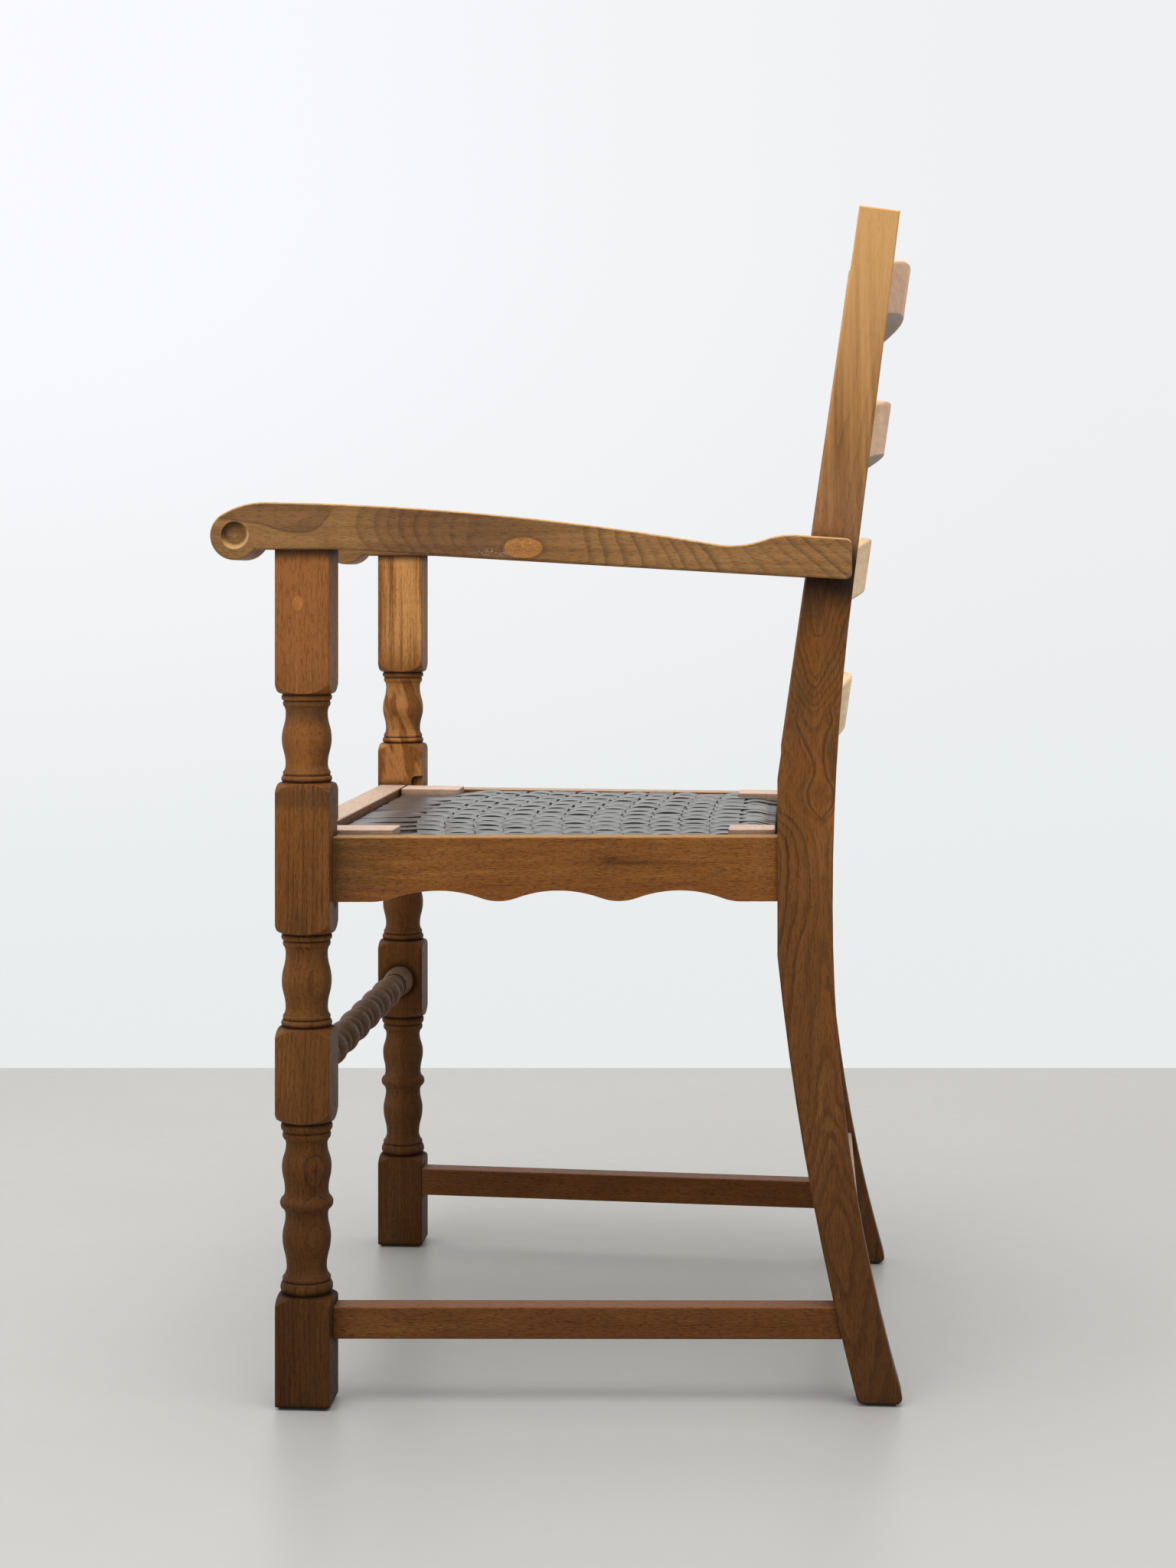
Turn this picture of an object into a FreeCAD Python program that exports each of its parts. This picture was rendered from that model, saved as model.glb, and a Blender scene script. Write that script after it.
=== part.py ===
import FreeCAD, Part
import math
import os

import Sketcher

# A ladder-back armchair: turned front legs, sawn and raked back posts, curved slats,
# scrolled arms and a lift-out seat frame with broad woven straps.
# Millimetres. +Z is up, the sitter faces -Y, and +X is the sitter's left.
# The origin lies on the floor under the middle of the chair.

# Driving dimensions
SIZES = (
    # Stance of the four uprights
    ("front_width", 570.0),
    ("rear_inset", 45.5),
    ("front_leg_setback", 229.0),
    ("post_setback", 394.0),
    ("foot_pad_thickness", 2.0),
    ("foot_pad_inset", 3.0),
    ("foot_pad_gap", 0.0),
    # Turned front leg
    ("leg_square", 43.5),
    ("leg_height", 677.0),
    ("leg_arris", 1.6),
    ("leg_tenon_diameter", 20.0),
    ("leg_tenon_length", 20.0),
    ("block_above_foot", 11.5),
    ("block_below_stretcher", 37.5),
    ("block_above_stretcher", 38.0),
    ("block_below_rail", 25.0),
    ("block_above_rail", 43.7),
    ("shoulder_rise", 11.0),
    ("shoulder_radius", 16.0),
    ("under_shoulder_rise", 14.0),
    ("under_shoulder_radius", 17.0),
    ("turning_reach", 31.6),
    # Sawn back post
    ("post_thickness", 30.0),
    ("post_height", 949.0),
    ("post_seat_depth", 43.7),
    ("post_top_depth", 32.3),
    ("post_foot_depth", 36.5),
    ("post_rake", 64.8),
    ("rake_above_rail", 45.7),
    ("kick_below_rail", 43.0),
    ("kick_bow", 6.8),
    ("foot_kick", 63.5),
    ("waist_below_rail", 3.0),
    ("straight_above_rake", 154.0),
    ("post_upper_depth", 38.0),
    ("post_foot_round", 5.0),
    ("post_arris", 1.6),
    # Seat rails
    ("rail_bottom", 398.0),
    ("rail_height", 51.3),
    ("front_rail_height", 54.5),
    ("side_rail_thickness", 22.0),
    ("front_rail_thickness", 26.0),
    ("front_rail_setback", 1.5),
    ("side_rail_inset", 18.0),
    ("back_rail_thickness", 26.0),
    ("back_rail_setback", 0.5),
    ("arch_rise", 8.8),
    ("pendant_rise", 0.4),
    ("rail_tenon_thickness", 10.0),
    ("rail_tenon_height", 30.0),
    ("rail_tenon_length", 18.0),
    ("front_tenon_web", 5.0),
    ("rear_tenon_web", 2.5),
    ("rail_arris", 1.5),
    # Joints in general
    ("glue_line", 0.1),
    ("end_gap", 1.0),
    ("overrun", 2.0),
    # Stretchers
    ("stretcher_bottom", 51.5),
    ("stretcher_height", 25.5),
    ("stretcher_thickness", 22.5),
    ("stretcher_inset", 20.0),
    ("stretcher_tenon_length", 16.0),
    ("stretcher_shoulder", 5.0),
    ("back_stretcher_rise", 23.0),
    ("front_stretcher_height", 261.5),
    ("bobbin_diameter", 27.6),
    ("stretcher_plain_end", 36.3),
    ("bobbin_neck_diameter", 20.0),
    ("ring_diameter", 25.0),
    ("front_stretcher_tenon_diameter", 14.0),
    ("front_stretcher_tenon_length", 20.0),
    # Curved back slats
    ("slat_thickness", 17.5),
    ("slat_height", 47.0),
    ("slat_crest_rise", 22.0),
    ("slat_arch_rise", 18.5),
    ("slat_bow", 27.0),
    ("slat_inset", 8.0),
    ("lowest_slat_rise", 18.5),
    ("slat_top_gap", 82.2),
    ("slat_tenon_thickness", 10.0),
    ("slat_tenon_height", 30.0),
    ("slat_tenon_length", 13.0),
    ("slat_arris", 2.5),
    # Arms
    ("arm_width", 47.0),
    ("arm_overhang", 31.8),
    ("scroll_radius", 19.5),
    ("scroll_drop", 11.0),
    ("arm_depth", 37.2),
    ("arm_past_dowel", 14.2),
    ("dish_radius", 10.8),
    ("dish_depth", 4.6),
    ("arm_arris", 1.8),
    ("arm_end_round", 5.0),
    ("arm_dowel_diameter", 10.0),
    ("arm_dowel_depth", 10.0),
    ("arm_dowel_length", 34.0),
    ("arm_dowel_drop", 8.0),
    # Lift-out seat frame
    ("seat_frame_rise", 26.5),
    ("seat_frame_height", 20.0),
    ("seat_bar_width", 42.0),
    ("seat_front_gap", 2.5),
    ("seat_back_gap", 2.5),
    ("seat_leg_gap", 2.9),
    ("front_corner_length", 56.0),
    ("back_corner_length", 37.0),
    ("corner_width", 42.0),
    ("corner_height", 8.0),
    ("corner_arris", 1.0),
    ("seat_tenon_thickness", 8.0),
    ("seat_tenon_length", 25.0),
    ("seat_tenon_inset", 8.0),
    ("leg_notch_depth", 10.5),
    ("leg_notch_width", 6.0),
    ("leg_notch_height", 9.0),
    ("leg_notch_round", 5.0),
    # Straps of the seat
    ("strap_thickness", 1.6),
    ("strap_gap", 0.3),
    ("strap_turn_down", 5.0),
    ("crosswise_width", 20.0),
    ("crosswise_pitch", 22.5),
    ("lengthwise_width", 20.0),
    ("lengthwise_pitch", 21.6),
    # Glued braces under the seat corners
    ("brace_height", 12.0),
    ("brace_thickness", 28.0),
    ("brace_inset", 22.0),
    ("brace_side_inset", 40.0),
)

LEFT = 1
RIGHT = -1

doc = FreeCAD.newDocument("ladder_back_armchair")
sheet = doc.addObject("Spreadsheet::Sheet", "Sizes")
for row, (alias, number) in enumerate(SIZES, start=1):
    sheet.set(f"A{row}", alias)
    sheet.set(f"B{row}", str(number))
    sheet.setAlias(f"B{row}", alias)
doc.recompute()


class Size:
    """A length of the sheet, or one worked out from such lengths, with its formula."""

    def __init__(self, value, formula):
        self.value = float(value)
        self.formula = formula

    def __add__(self, other):
        other = size(other)
        return Size(self.value + other.value, f"({self.formula} + {other.formula})")

    def __sub__(self, other):
        other = size(other)
        return Size(self.value - other.value, f"({self.formula} - {other.formula})")

    def __mul__(self, other):
        other = size(other)
        return Size(self.value * other.value, f"({self.formula} * {other.formula})")

    def __truediv__(self, other):
        other = size(other)
        return Size(self.value / other.value, f"({self.formula} / {other.formula})")

    def __neg__(self):
        return Size(-self.value, f"(0 - {self.formula})")

    def __rsub__(self, other):
        return size(other) - self

    __radd__ = __add__
    __rmul__ = __mul__

    def root(self):
        return Size(math.sqrt(self.value), f"sqrt({self.formula})")


def size(item):
    """The same size, or a plain count or share as one."""
    return item if isinstance(item, Size) else Size(item, repr(float(item)))


def of(alias):
    return Size(sheet.get(alias), f"Sizes.{alias}")


def sine(degrees):
    return math.sin(math.radians(degrees))


def cosine(degrees):
    return math.cos(math.radians(degrees))


def bind(item, name, amount):
    """Sets a property of an object to a size and ties it to the sheet."""
    amount = size(amount)
    if "." not in name:
        setattr(item, name, amount.value)
    item.setExpression(name, amount.formula)


def place(item, x=0, y=0, z=0):
    x, y, z = size(x), size(y), size(z)
    item.Placement.Base = FreeCAD.Vector(x.value, y.value, z.value)
    item.setExpression("Placement.Base.x", x.formula)
    item.setExpression("Placement.Base.y", y.formula)
    item.setExpression("Placement.Base.z", z.formula)


# Outlines

class Outline:
    """A closed outline of straight lines and arcs, in the two directions of a sketch."""

    def __init__(self, u, v):
        self.points = [(size(u), size(v))]
        self.edges = []

    def line(self, u, v):
        self.points.append((size(u), size(v)))
        self.edges.append(None)
        return self

    def arc(self, u, v, radius, turn, major=False):
        """An arc to a point. A turn of 1 is anticlockwise and -1 clockwise."""
        self.points.append((size(u), size(v)))
        self.edges.append((size(radius), turn, major))
        return self

    def bulge(self, u, v, height, turn):
        """An arc to a point, whose middle stands off the straight line by a height."""
        (u0, v0), u, v, height = self.points[-1], size(u), size(v), size(height)
        quarter = ((u - u0) * (u - u0) + (v - v0) * (v - v0)) / 4
        return self.arc(u, v, (quarter + height * height) / (height * 2), turn)

    def ogee_up(self, u, v):
        """An S that starts and ends upright, as between a neck and a belly."""
        (u0, v0), u, v = self.points[-1], size(u), size(v)
        across, along = u - u0, v - v0
        sign = 1 if across.value > 0 else -1
        radius = (along * along + across * across) / (across * 4 * sign)
        first = -sign if along.value > 0 else sign
        self.arc((u + u0) / 2, (v + v0) / 2, radius, first)
        return self.arc(u, v, radius, -first)

    def ogee_along(self, u, v, share):
        """An S that starts and ends level, as between a pendant and an arch. The share tells
        how much of it belongs to the first bend."""
        (u0, v0), u, v = self.points[-1], size(u), size(v)
        across, along = v - v0, u - u0
        sign = 1 if across.value > 0 else -1
        both = (along * along + across * across) / (across * 2 * sign)
        first = sign if along.value > 0 else -sign
        self.arc(u0 + along * share, v0 + across * share, both * share, first)
        return self.arc(u, v, both * (1 - share), -first)

    def sweep(self, u, start, end):
        """An arc that runs at one angle where it starts and at another where it ends."""
        u0, v0 = self.points[-1]
        chord = math.tan(math.radians((start + end) / 2))
        turn = 1 if end > start else -1
        radius = (size(u) - u0) / abs(sine(end) - sine(start))
        return self.arc(u, v0 + (size(u) - u0) * chord, radius, turn)

    def close(self):
        self.edges.append(None)
        return self


def arc_through(start, end, radius, turn, major):
    """An anticlockwise arc between two points, and whether it had to be turned round."""
    if turn < 0:
        start, end = end, start
    chord = end - start
    half = chord.Length / 2
    middle = (start + end) * 0.5
    left = FreeCAD.Vector(-chord.y, chord.x, 0).normalize()
    reach = math.sqrt(max(radius * radius - half * half, 0))
    centre = middle - left * reach if major else middle + left * reach
    first = math.atan2(start.y - centre.y, start.x - centre.x)
    last = math.atan2(end.y - centre.y, end.x - centre.x)
    circle = Part.Circle(centre, FreeCAD.Vector(0, 0, 1), radius)
    return Part.ArcOfCircle(circle, first, last)


def tie_point(sketch, geometry, corner, u, v):
    """Holds one corner of the outline at its place, tied to the sheet."""
    for kind, axis, amount in (("DistanceX", -2, u), ("DistanceY", -1, v)):
        if amount.value == 0:
            sketch.addConstraint(Sketcher.Constraint("PointOnObject", geometry, corner, axis))
            continue
        rule = Sketcher.Constraint(kind, -1, 1, geometry, corner, amount.value)
        index = sketch.addConstraint(rule)
        sketch.setExpression(f"Constraints[{index}]", amount.formula)


def draw(body, role, name, outlines=(), circles=(), offset=None):
    """A sketch on one of the body's own planes, with outlines and circles tied to the sheet."""
    sketch = body.newObject("Sketcher::SketchObject", name)
    plane = [item for item in body.Origin.OriginFeatures if item.Role == role][0]
    sketch.AttachmentSupport = [(plane, "")]
    sketch.MapMode = "FlatFace"
    if offset is not None:
        sketch.AttachmentOffset = FreeCAD.Placement(
            FreeCAD.Vector(0, 0, size(offset).value), FreeCAD.Rotation())
        sketch.setExpression("AttachmentOffset.Base.z", size(offset).formula)
    for outline in outlines:
        add_outline(sketch, outline)
    for u, v, radius in circles:
        u, v, radius = size(u), size(v), size(radius)
        centre = FreeCAD.Vector(u.value, v.value, 0)
        circle = Part.Circle(centre, FreeCAD.Vector(0, 0, 1), radius.value)
        index = sketch.addGeometry(circle, False)
        tie_point(sketch, index, 3, u, v)
        rule = sketch.addConstraint(Sketcher.Constraint("Radius", index, radius.value))
        sketch.setExpression(f"Constraints[{rule}]", radius.formula)
    return sketch


def add_outline(sketch, outline):
    points, edges = outline.points, outline.edges
    spots = [FreeCAD.Vector(u.value, v.value, 0) for u, v in points]
    spots = spots + spots[:1] if len(edges) == len(points) else spots
    ends = []
    for number, edge in enumerate(edges):
        start, end = spots[number], spots[number + 1]
        if edge is None:
            index = sketch.addGeometry(Part.LineSegment(start, end), False)
            ends.append((index, 1, 2))
            continue
        radius, turn, major = edge
        index = sketch.addGeometry(arc_through(start, end, radius.value, turn, major), False)
        ends.append((index, 1, 2) if turn > 0 else (index, 2, 1))
        rule = sketch.addConstraint(Sketcher.Constraint("Radius", index, radius.value))
        sketch.setExpression(f"Constraints[{rule}]", radius.formula)
    for number, (index, first, last) in enumerate(ends):
        after = ends[(number + 1) % len(ends)]
        join = Sketcher.Constraint("Coincident", index, last, after[0], after[1])
        sketch.addConstraint(join)
        tie_point(sketch, index, first, *points[number])


def rectangle(u0, v0, u1, v1):
    return Outline(u0, v0).line(u1, v0).line(u1, v1).line(u0, v1).close()


def strip(u0, v0, u1, v1, width):
    """A bar in plan between two points, its ends square to the second direction."""
    half = width / 2
    return Outline(u0 - half, v0).line(u0 + half, v0).line(u1 + half, v1).line(u1 - half, v1).close()


# Features

def new_body(label):
    body = doc.addObject("PartDesign::Body", label)
    body.Label = label
    return body


def feature(body, kind, name, sketch, **sizes):
    item = body.newObject(kind, name)
    item.Profile = sketch
    for key, amount in sizes.items():
        bind(item, key, amount)
    sketch.Visibility = False
    return item


def pad(body, sketch, length):
    return feature(body, "PartDesign::Pad", "Pad", sketch, Length=length)


def pocket(body, sketch, length):
    """Cuts below the sketch, against its normal."""
    return feature(body, "PartDesign::Pocket", "Pocket", sketch, Length=length)


def turn_away(body, sketch, axis):
    item = feature(body, "PartDesign::Groove", "Groove", sketch)
    item.ReferenceAxis = (sketch, [axis])
    item.Angle = 360
    return item


def soften(body, base, radius, wanted):
    """Rounds the edges of the last feature that a test picks out."""
    doc.recompute()
    names = [f"Edge{number}" for number, edge in enumerate(base.Shape.Edges, start=1)
             if wanted(edge)]
    item = body.newObject("PartDesign::Fillet", "Arris")
    item.Base = (base, names)
    bind(item, "Radius", radius)
    return item


def along(axis, tolerance=1e-6):
    """Whether a straight edge runs along one axis, given as 0, 1 or 2."""
    def test(edge):
        box = edge.BoundBox
        spans = [box.XLength, box.YLength, box.ZLength]
        return all(span < tolerance for number, span in enumerate(spans) if number != axis)
    return test


def square_to(axis, tolerance=1e-6):
    """Whether an edge lies in a plane square to one axis, given as 0, 1 or 2."""
    def test(edge):
        box = edge.BoundBox
        return (box.XLength, box.YLength, box.ZLength)[axis] < tolerance
    return test


# Heights that several pieces share, from the floor up
stretcher_top = of("stretcher_bottom") + of("stretcher_height")
low_turning_bottom = stretcher_top + of("block_above_foot")
low_turning_top = of("front_stretcher_height") - of("block_below_stretcher")
middle_turning_bottom = of("front_stretcher_height") + of("block_above_stretcher")
middle_turning_top = of("rail_bottom") - of("block_below_rail")
rail_top = of("rail_bottom") + of("rail_height")
front_rail_top = of("rail_bottom") + of("front_rail_height")
top_turning_bottom = rail_top + of("block_above_rail")
TOP_TURNING_SHARE = 0.3777
top_turning_top = top_turning_bottom + (of("leg_height") - top_turning_bottom) * TOP_TURNING_SHARE
back_stretcher_bottom = stretcher_top + of("back_stretcher_rise")
seat_frame_bottom = of("rail_bottom") + of("seat_frame_rise")
seat_frame_top = seat_frame_bottom + of("seat_frame_height")
kick_start = of("rail_bottom") - of("kick_below_rail")
waist_height = of("rail_bottom") - of("waist_below_rail")
rake_start = rail_top + of("rake_above_rail")
upper_back_straight = rake_start + of("straight_above_rake")
arm_dowel_height = of("leg_height") - of("arm_dowel_drop")
SLATS = 4
lowest_slat_height = rake_start + of("lowest_slat_rise")
slat_pitch = (of("post_height") - of("slat_top_gap") - lowest_slat_height) / (SLATS - 1)

# Places that several pieces share
half_square = of("leg_square") / 2
front_y = -of("front_leg_setback")
leg_x = of("front_width") / 2 - half_square
leg_inner_x = leg_x - half_square
leg_y = front_y + half_square
leg_back_y = front_y + of("leg_square")
post_y = front_y + of("post_setback")
post_outer_x = of("front_width") / 2 - of("rear_inset")
post_inner_x = post_outer_x - of("post_thickness")
post_x = post_outer_x - of("post_thickness") / 2
floor_gap = of("foot_pad_thickness") + of("foot_pad_gap")
rake_rise = of("post_height") - rake_start
rake_length = (rake_rise * rake_rise + of("post_rake") * of("post_rake")).root()
rake_sine = of("post_rake") / rake_length
rake_cosine = rake_rise / rake_length

rail_front_x = of("front_width") / 2 - of("side_rail_inset") - of("side_rail_thickness") / 2
rail_run = post_y - leg_back_y
rail_slope = (post_x - rail_front_x) / rail_run
stretcher_front_x = (of("front_width") / 2 - of("stretcher_inset")
                     - of("stretcher_thickness") / 2)


def post_front(height):
    """How far the post's front edge stands behind the post's own origin at a height."""
    if height.value >= rake_start.value:
        return (height - rake_start) * of("post_rake") / rake_rise
    if height.value >= kick_start.value:
        return size(0)
    rise = kick_start - floor_gap
    chord = (rise * rise + of("foot_kick") * of("foot_kick")).root()
    bow = of("kick_bow")
    radius = (chord * chord / 4 + bow * bow) / (bow * 2)
    stand = radius - bow
    centre_u = of("foot_kick") / 2 + stand * rise / chord
    centre_v = floor_gap + rise / 2 + stand * of("foot_kick") / chord
    drop = centre_v - height
    return centre_u - (radius * radius - drop * drop).root()


# Turned front legs
# Every step of a turning goes up the leg. Heights are shares of the stretch between two
# square blocks, and radii are shares of half the leg's square.
VASE_SHARES = (
    ("start", 0.0, 0.87),
    ("bead", 0.075, 0.24),
    ("line", 0.075, 0.835),
    ("bead", 0.13, 0.20),
    ("line", 0.13, 0.825),
    ("cove", 0.205, 0.77),
    ("ogee", 0.49, 0.91),
    ("ogee", 0.785, 0.765),
    ("cove", 0.86, 0.815),
    ("line", 0.86, 0.825),
    ("bead", 0.93, 0.20),
    ("line", 0.93, 0.87),
    ("bead", 1.0, 0.24),
)
DOUBLE_VASE_SHARES = (
    ("start", 0.0, 0.87),
    ("bead", 0.072, 0.20),
    ("line", 0.072, 0.845),
    ("bead", 0.10, 0.22),
    ("line", 0.10, 0.84),
    ("cove", 0.15, 0.73),
    ("ogee", 0.323, 0.885),
    ("ogee", 0.455, 0.775),
    ("cove", 0.49, 0.85),
    ("bead", 0.563, 0.27),
    ("cove", 0.60, 0.795),
    ("ogee", 0.739, 0.905),
    ("ogee", 0.868, 0.755),
    ("cove", 0.90, 0.82),
    ("line", 0.90, 0.83),
    ("bead", 0.945, 0.20),
    ("line", 0.945, 0.87),
    ("bead", 1.0, 0.22),
)


def turning(shares, bottom, top):
    """The waste that the lathe takes off between two square blocks, as half a section."""
    length = top - bottom
    reach = of("turning_reach")
    radius = half_square * shares[0][2]
    outline = Outline(reach, bottom - of("shoulder_rise"))
    outline.arc(radius, bottom, of("shoulder_radius"), 1)
    for kind, height_share, amount_share in shares[1:]:
        height = bottom + length * height_share
        if kind == "bead":
            width = height - outline.points[-1][1]
            outline.bulge(radius, height, width * amount_share, 1)
            continue
        before = outline.points[-1]
        radius = half_square * amount_share
        if kind == "line":
            outline.line(radius, height)
        elif kind == "ogee":
            outline.ogee_up(radius, height)
        elif kind == "cove":
            step, rise = radius - before[0], height - before[1]
            sign = 1 if step.value > 0 else -1
            outline.arc(radius, height, (step * step + rise * rise) / (step * 2 * sign), -1)
    outline.arc(reach, top + of("under_shoulder_rise"), of("under_shoulder_radius"), 1)
    return outline.close()


def build_front_leg(label, side):
    body = new_body(label)
    half, reach = half_square, of("turning_reach")
    bottom, height = floor_gap, of("leg_height")
    billet = pad(body, draw(body, "XY_Plane", "Square", [rectangle(-half, -half, half, half)],
                            offset=bottom),
                 height + of("leg_tenon_length") - bottom)
    soften(body, billet, of("leg_arris"), lambda edge: along(2)(edge)
           or (edge.CenterOfMass.z < bottom.value + of("leg_arris").value))
    tenon = of("leg_tenon_diameter") / 2
    waste = rectangle(tenon, height, reach, height + of("leg_tenon_length") + of("overrun"))
    turn_away(body, draw(body, "XZ_Plane", "Tenon", [waste]), "V_Axis")
    for shares, low, high in ((DOUBLE_VASE_SHARES, low_turning_bottom, low_turning_top),
                              (VASE_SHARES, middle_turning_bottom, middle_turning_top),
                              (VASE_SHARES, top_turning_bottom, top_turning_top)):
        waste = turning(shares, low, high)
        turn_away(body, draw(body, "XZ_Plane", "Turning", [waste]), "V_Axis")
    # Mortises for the side rail, the front rail and the two stretchers
    slip = of("glue_line") * 2
    reach_in = side_front_tenon_length() + of("end_gap")
    enter_x = (rail_front_x - leg_x) * side
    slope = rail_slope * side
    side_slot = strip(enter_x - slope * reach_in, half - reach_in,
                      enter_x + slope * of("overrun"), half + of("overrun"),
                      of("rail_tenon_thickness") + slip)
    middle = side_rail_middle()
    pocket(body, draw(body, "XY_Plane", "SideMortise", [side_slot],
                      offset=middle + of("rail_tenon_height") / 2 + of("glue_line")),
           of("rail_tenon_height") + slip)
    inner = -half * side
    reach_in = of("rail_tenon_length") + of("end_gap")
    rail_y = front_rail_y() - leg_y
    slot_half = of("rail_tenon_thickness") / 2 + of("glue_line")
    front_slot = rectangle(inner - of("overrun") * side, rail_y - slot_half,
                           inner + reach_in * side, rail_y + slot_half)
    pocket(body, draw(body, "XY_Plane", "FrontMortise", [front_slot],
                      offset=middle + of("rail_tenon_height") / 2 + of("glue_line")),
           of("rail_tenon_height") + slip)
    low = of("stretcher_bottom") + of("stretcher_shoulder") - of("glue_line")
    high = of("stretcher_bottom") + of("stretcher_height") - of("stretcher_shoulder")
    depth = of("stretcher_tenon_length") + of("end_gap")
    enter_x = (stretcher_front_x - leg_x) * side
    slope = stretcher_slope() * side
    low_slot = strip(enter_x - slope * depth, half - depth, enter_x + slope * of("overrun"),
                     half + of("overrun"), stretcher_tenon_thickness() + slip)
    pocket(body, draw(body, "XY_Plane", "StretcherMortise", [low_slot],
                      offset=high + of("glue_line")), high + of("glue_line") - low)
    bore_depth = of("front_stretcher_tenon_length") + of("end_gap")
    bore = of("front_stretcher_tenon_diameter") / 2 + of("glue_line")
    start = -half + bore_depth if side == LEFT else half + of("overrun")
    pocket(body, draw(body, "YZ_Plane", "Bore", circles=[(0, of("front_stretcher_height"), bore)],
                      offset=start), bore_depth + (0 if side == LEFT else of("overrun")))
    # Notch that clears the corner of the lift-out seat frame
    notch_height = of("corner_height") + of("leg_notch_height")
    notch_top, bend = seat_frame_top + notch_height, of("leg_notch_round")
    notch_front = half - of("leg_notch_depth")
    notch = (Outline(notch_front, seat_frame_top).line(half + of("overrun"), seat_frame_top)
             .line(half + of("overrun"), notch_top).line(notch_front + bend, notch_top)
             .arc(notch_front, notch_top - bend, bend, 1).close())
    width = of("leg_notch_width") + of("overrun")
    start = -half + of("leg_notch_width") if side == LEFT else half + of("overrun")
    pocket(body, draw(body, "YZ_Plane", "Notch", [notch], offset=start), width)
    place(body, leg_x * side, leg_y, 0)
    return body


# Sawn back posts

def post_outline():
    """The post from the side. It kicks back at the foot and leans back above the seat."""
    bottom, kick = floor_gap, of("foot_kick")
    depth, foot = of("post_seat_depth"), of("post_foot_depth")
    top_v = of("post_height") - of("post_top_depth") * rake_sine
    top_u = of("post_rake") + of("post_top_depth") * rake_cosine
    back_u = post_front(upper_back_straight) + of("post_upper_depth")
    waist = waist_height
    upper, lean = upper_back_straight - waist, back_u - depth
    lower, heel = waist - bottom, kick + foot - depth
    outline = Outline(kick, bottom)
    outline.bulge(0, kick_start, of("kick_bow"), -1)
    outline.line(0, rake_start)
    outline.line(of("post_rake"), of("post_height"))
    outline.line(top_u, top_v)
    outline.line(back_u, upper_back_straight)
    outline.arc(depth, waist, (upper * upper + lean * lean) / (lean * 2), 1)
    outline.arc(kick + foot, bottom, (lower * lower + heel * heel) / (heel * 2), 1)
    return outline.close()


def raked_box(along_low, along_high, off_low, off_high, base_height):
    """A rectangle in the side view that leans with the post, from a height on its front edge."""
    base_u = post_front(base_height)

    def spot(along_rake, off_rake):
        return (base_u + along_rake * rake_sine + off_rake * rake_cosine,
                base_height + along_rake * rake_cosine - off_rake * rake_sine)

    outline = Outline(*spot(along_low, off_low))
    for corner in ((along_low, off_high), (along_high, off_high), (along_high, off_low)):
        outline.line(*spot(*corner))
    return outline.close()


def slat_base(number):
    return lowest_slat_height + slat_pitch * number


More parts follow.
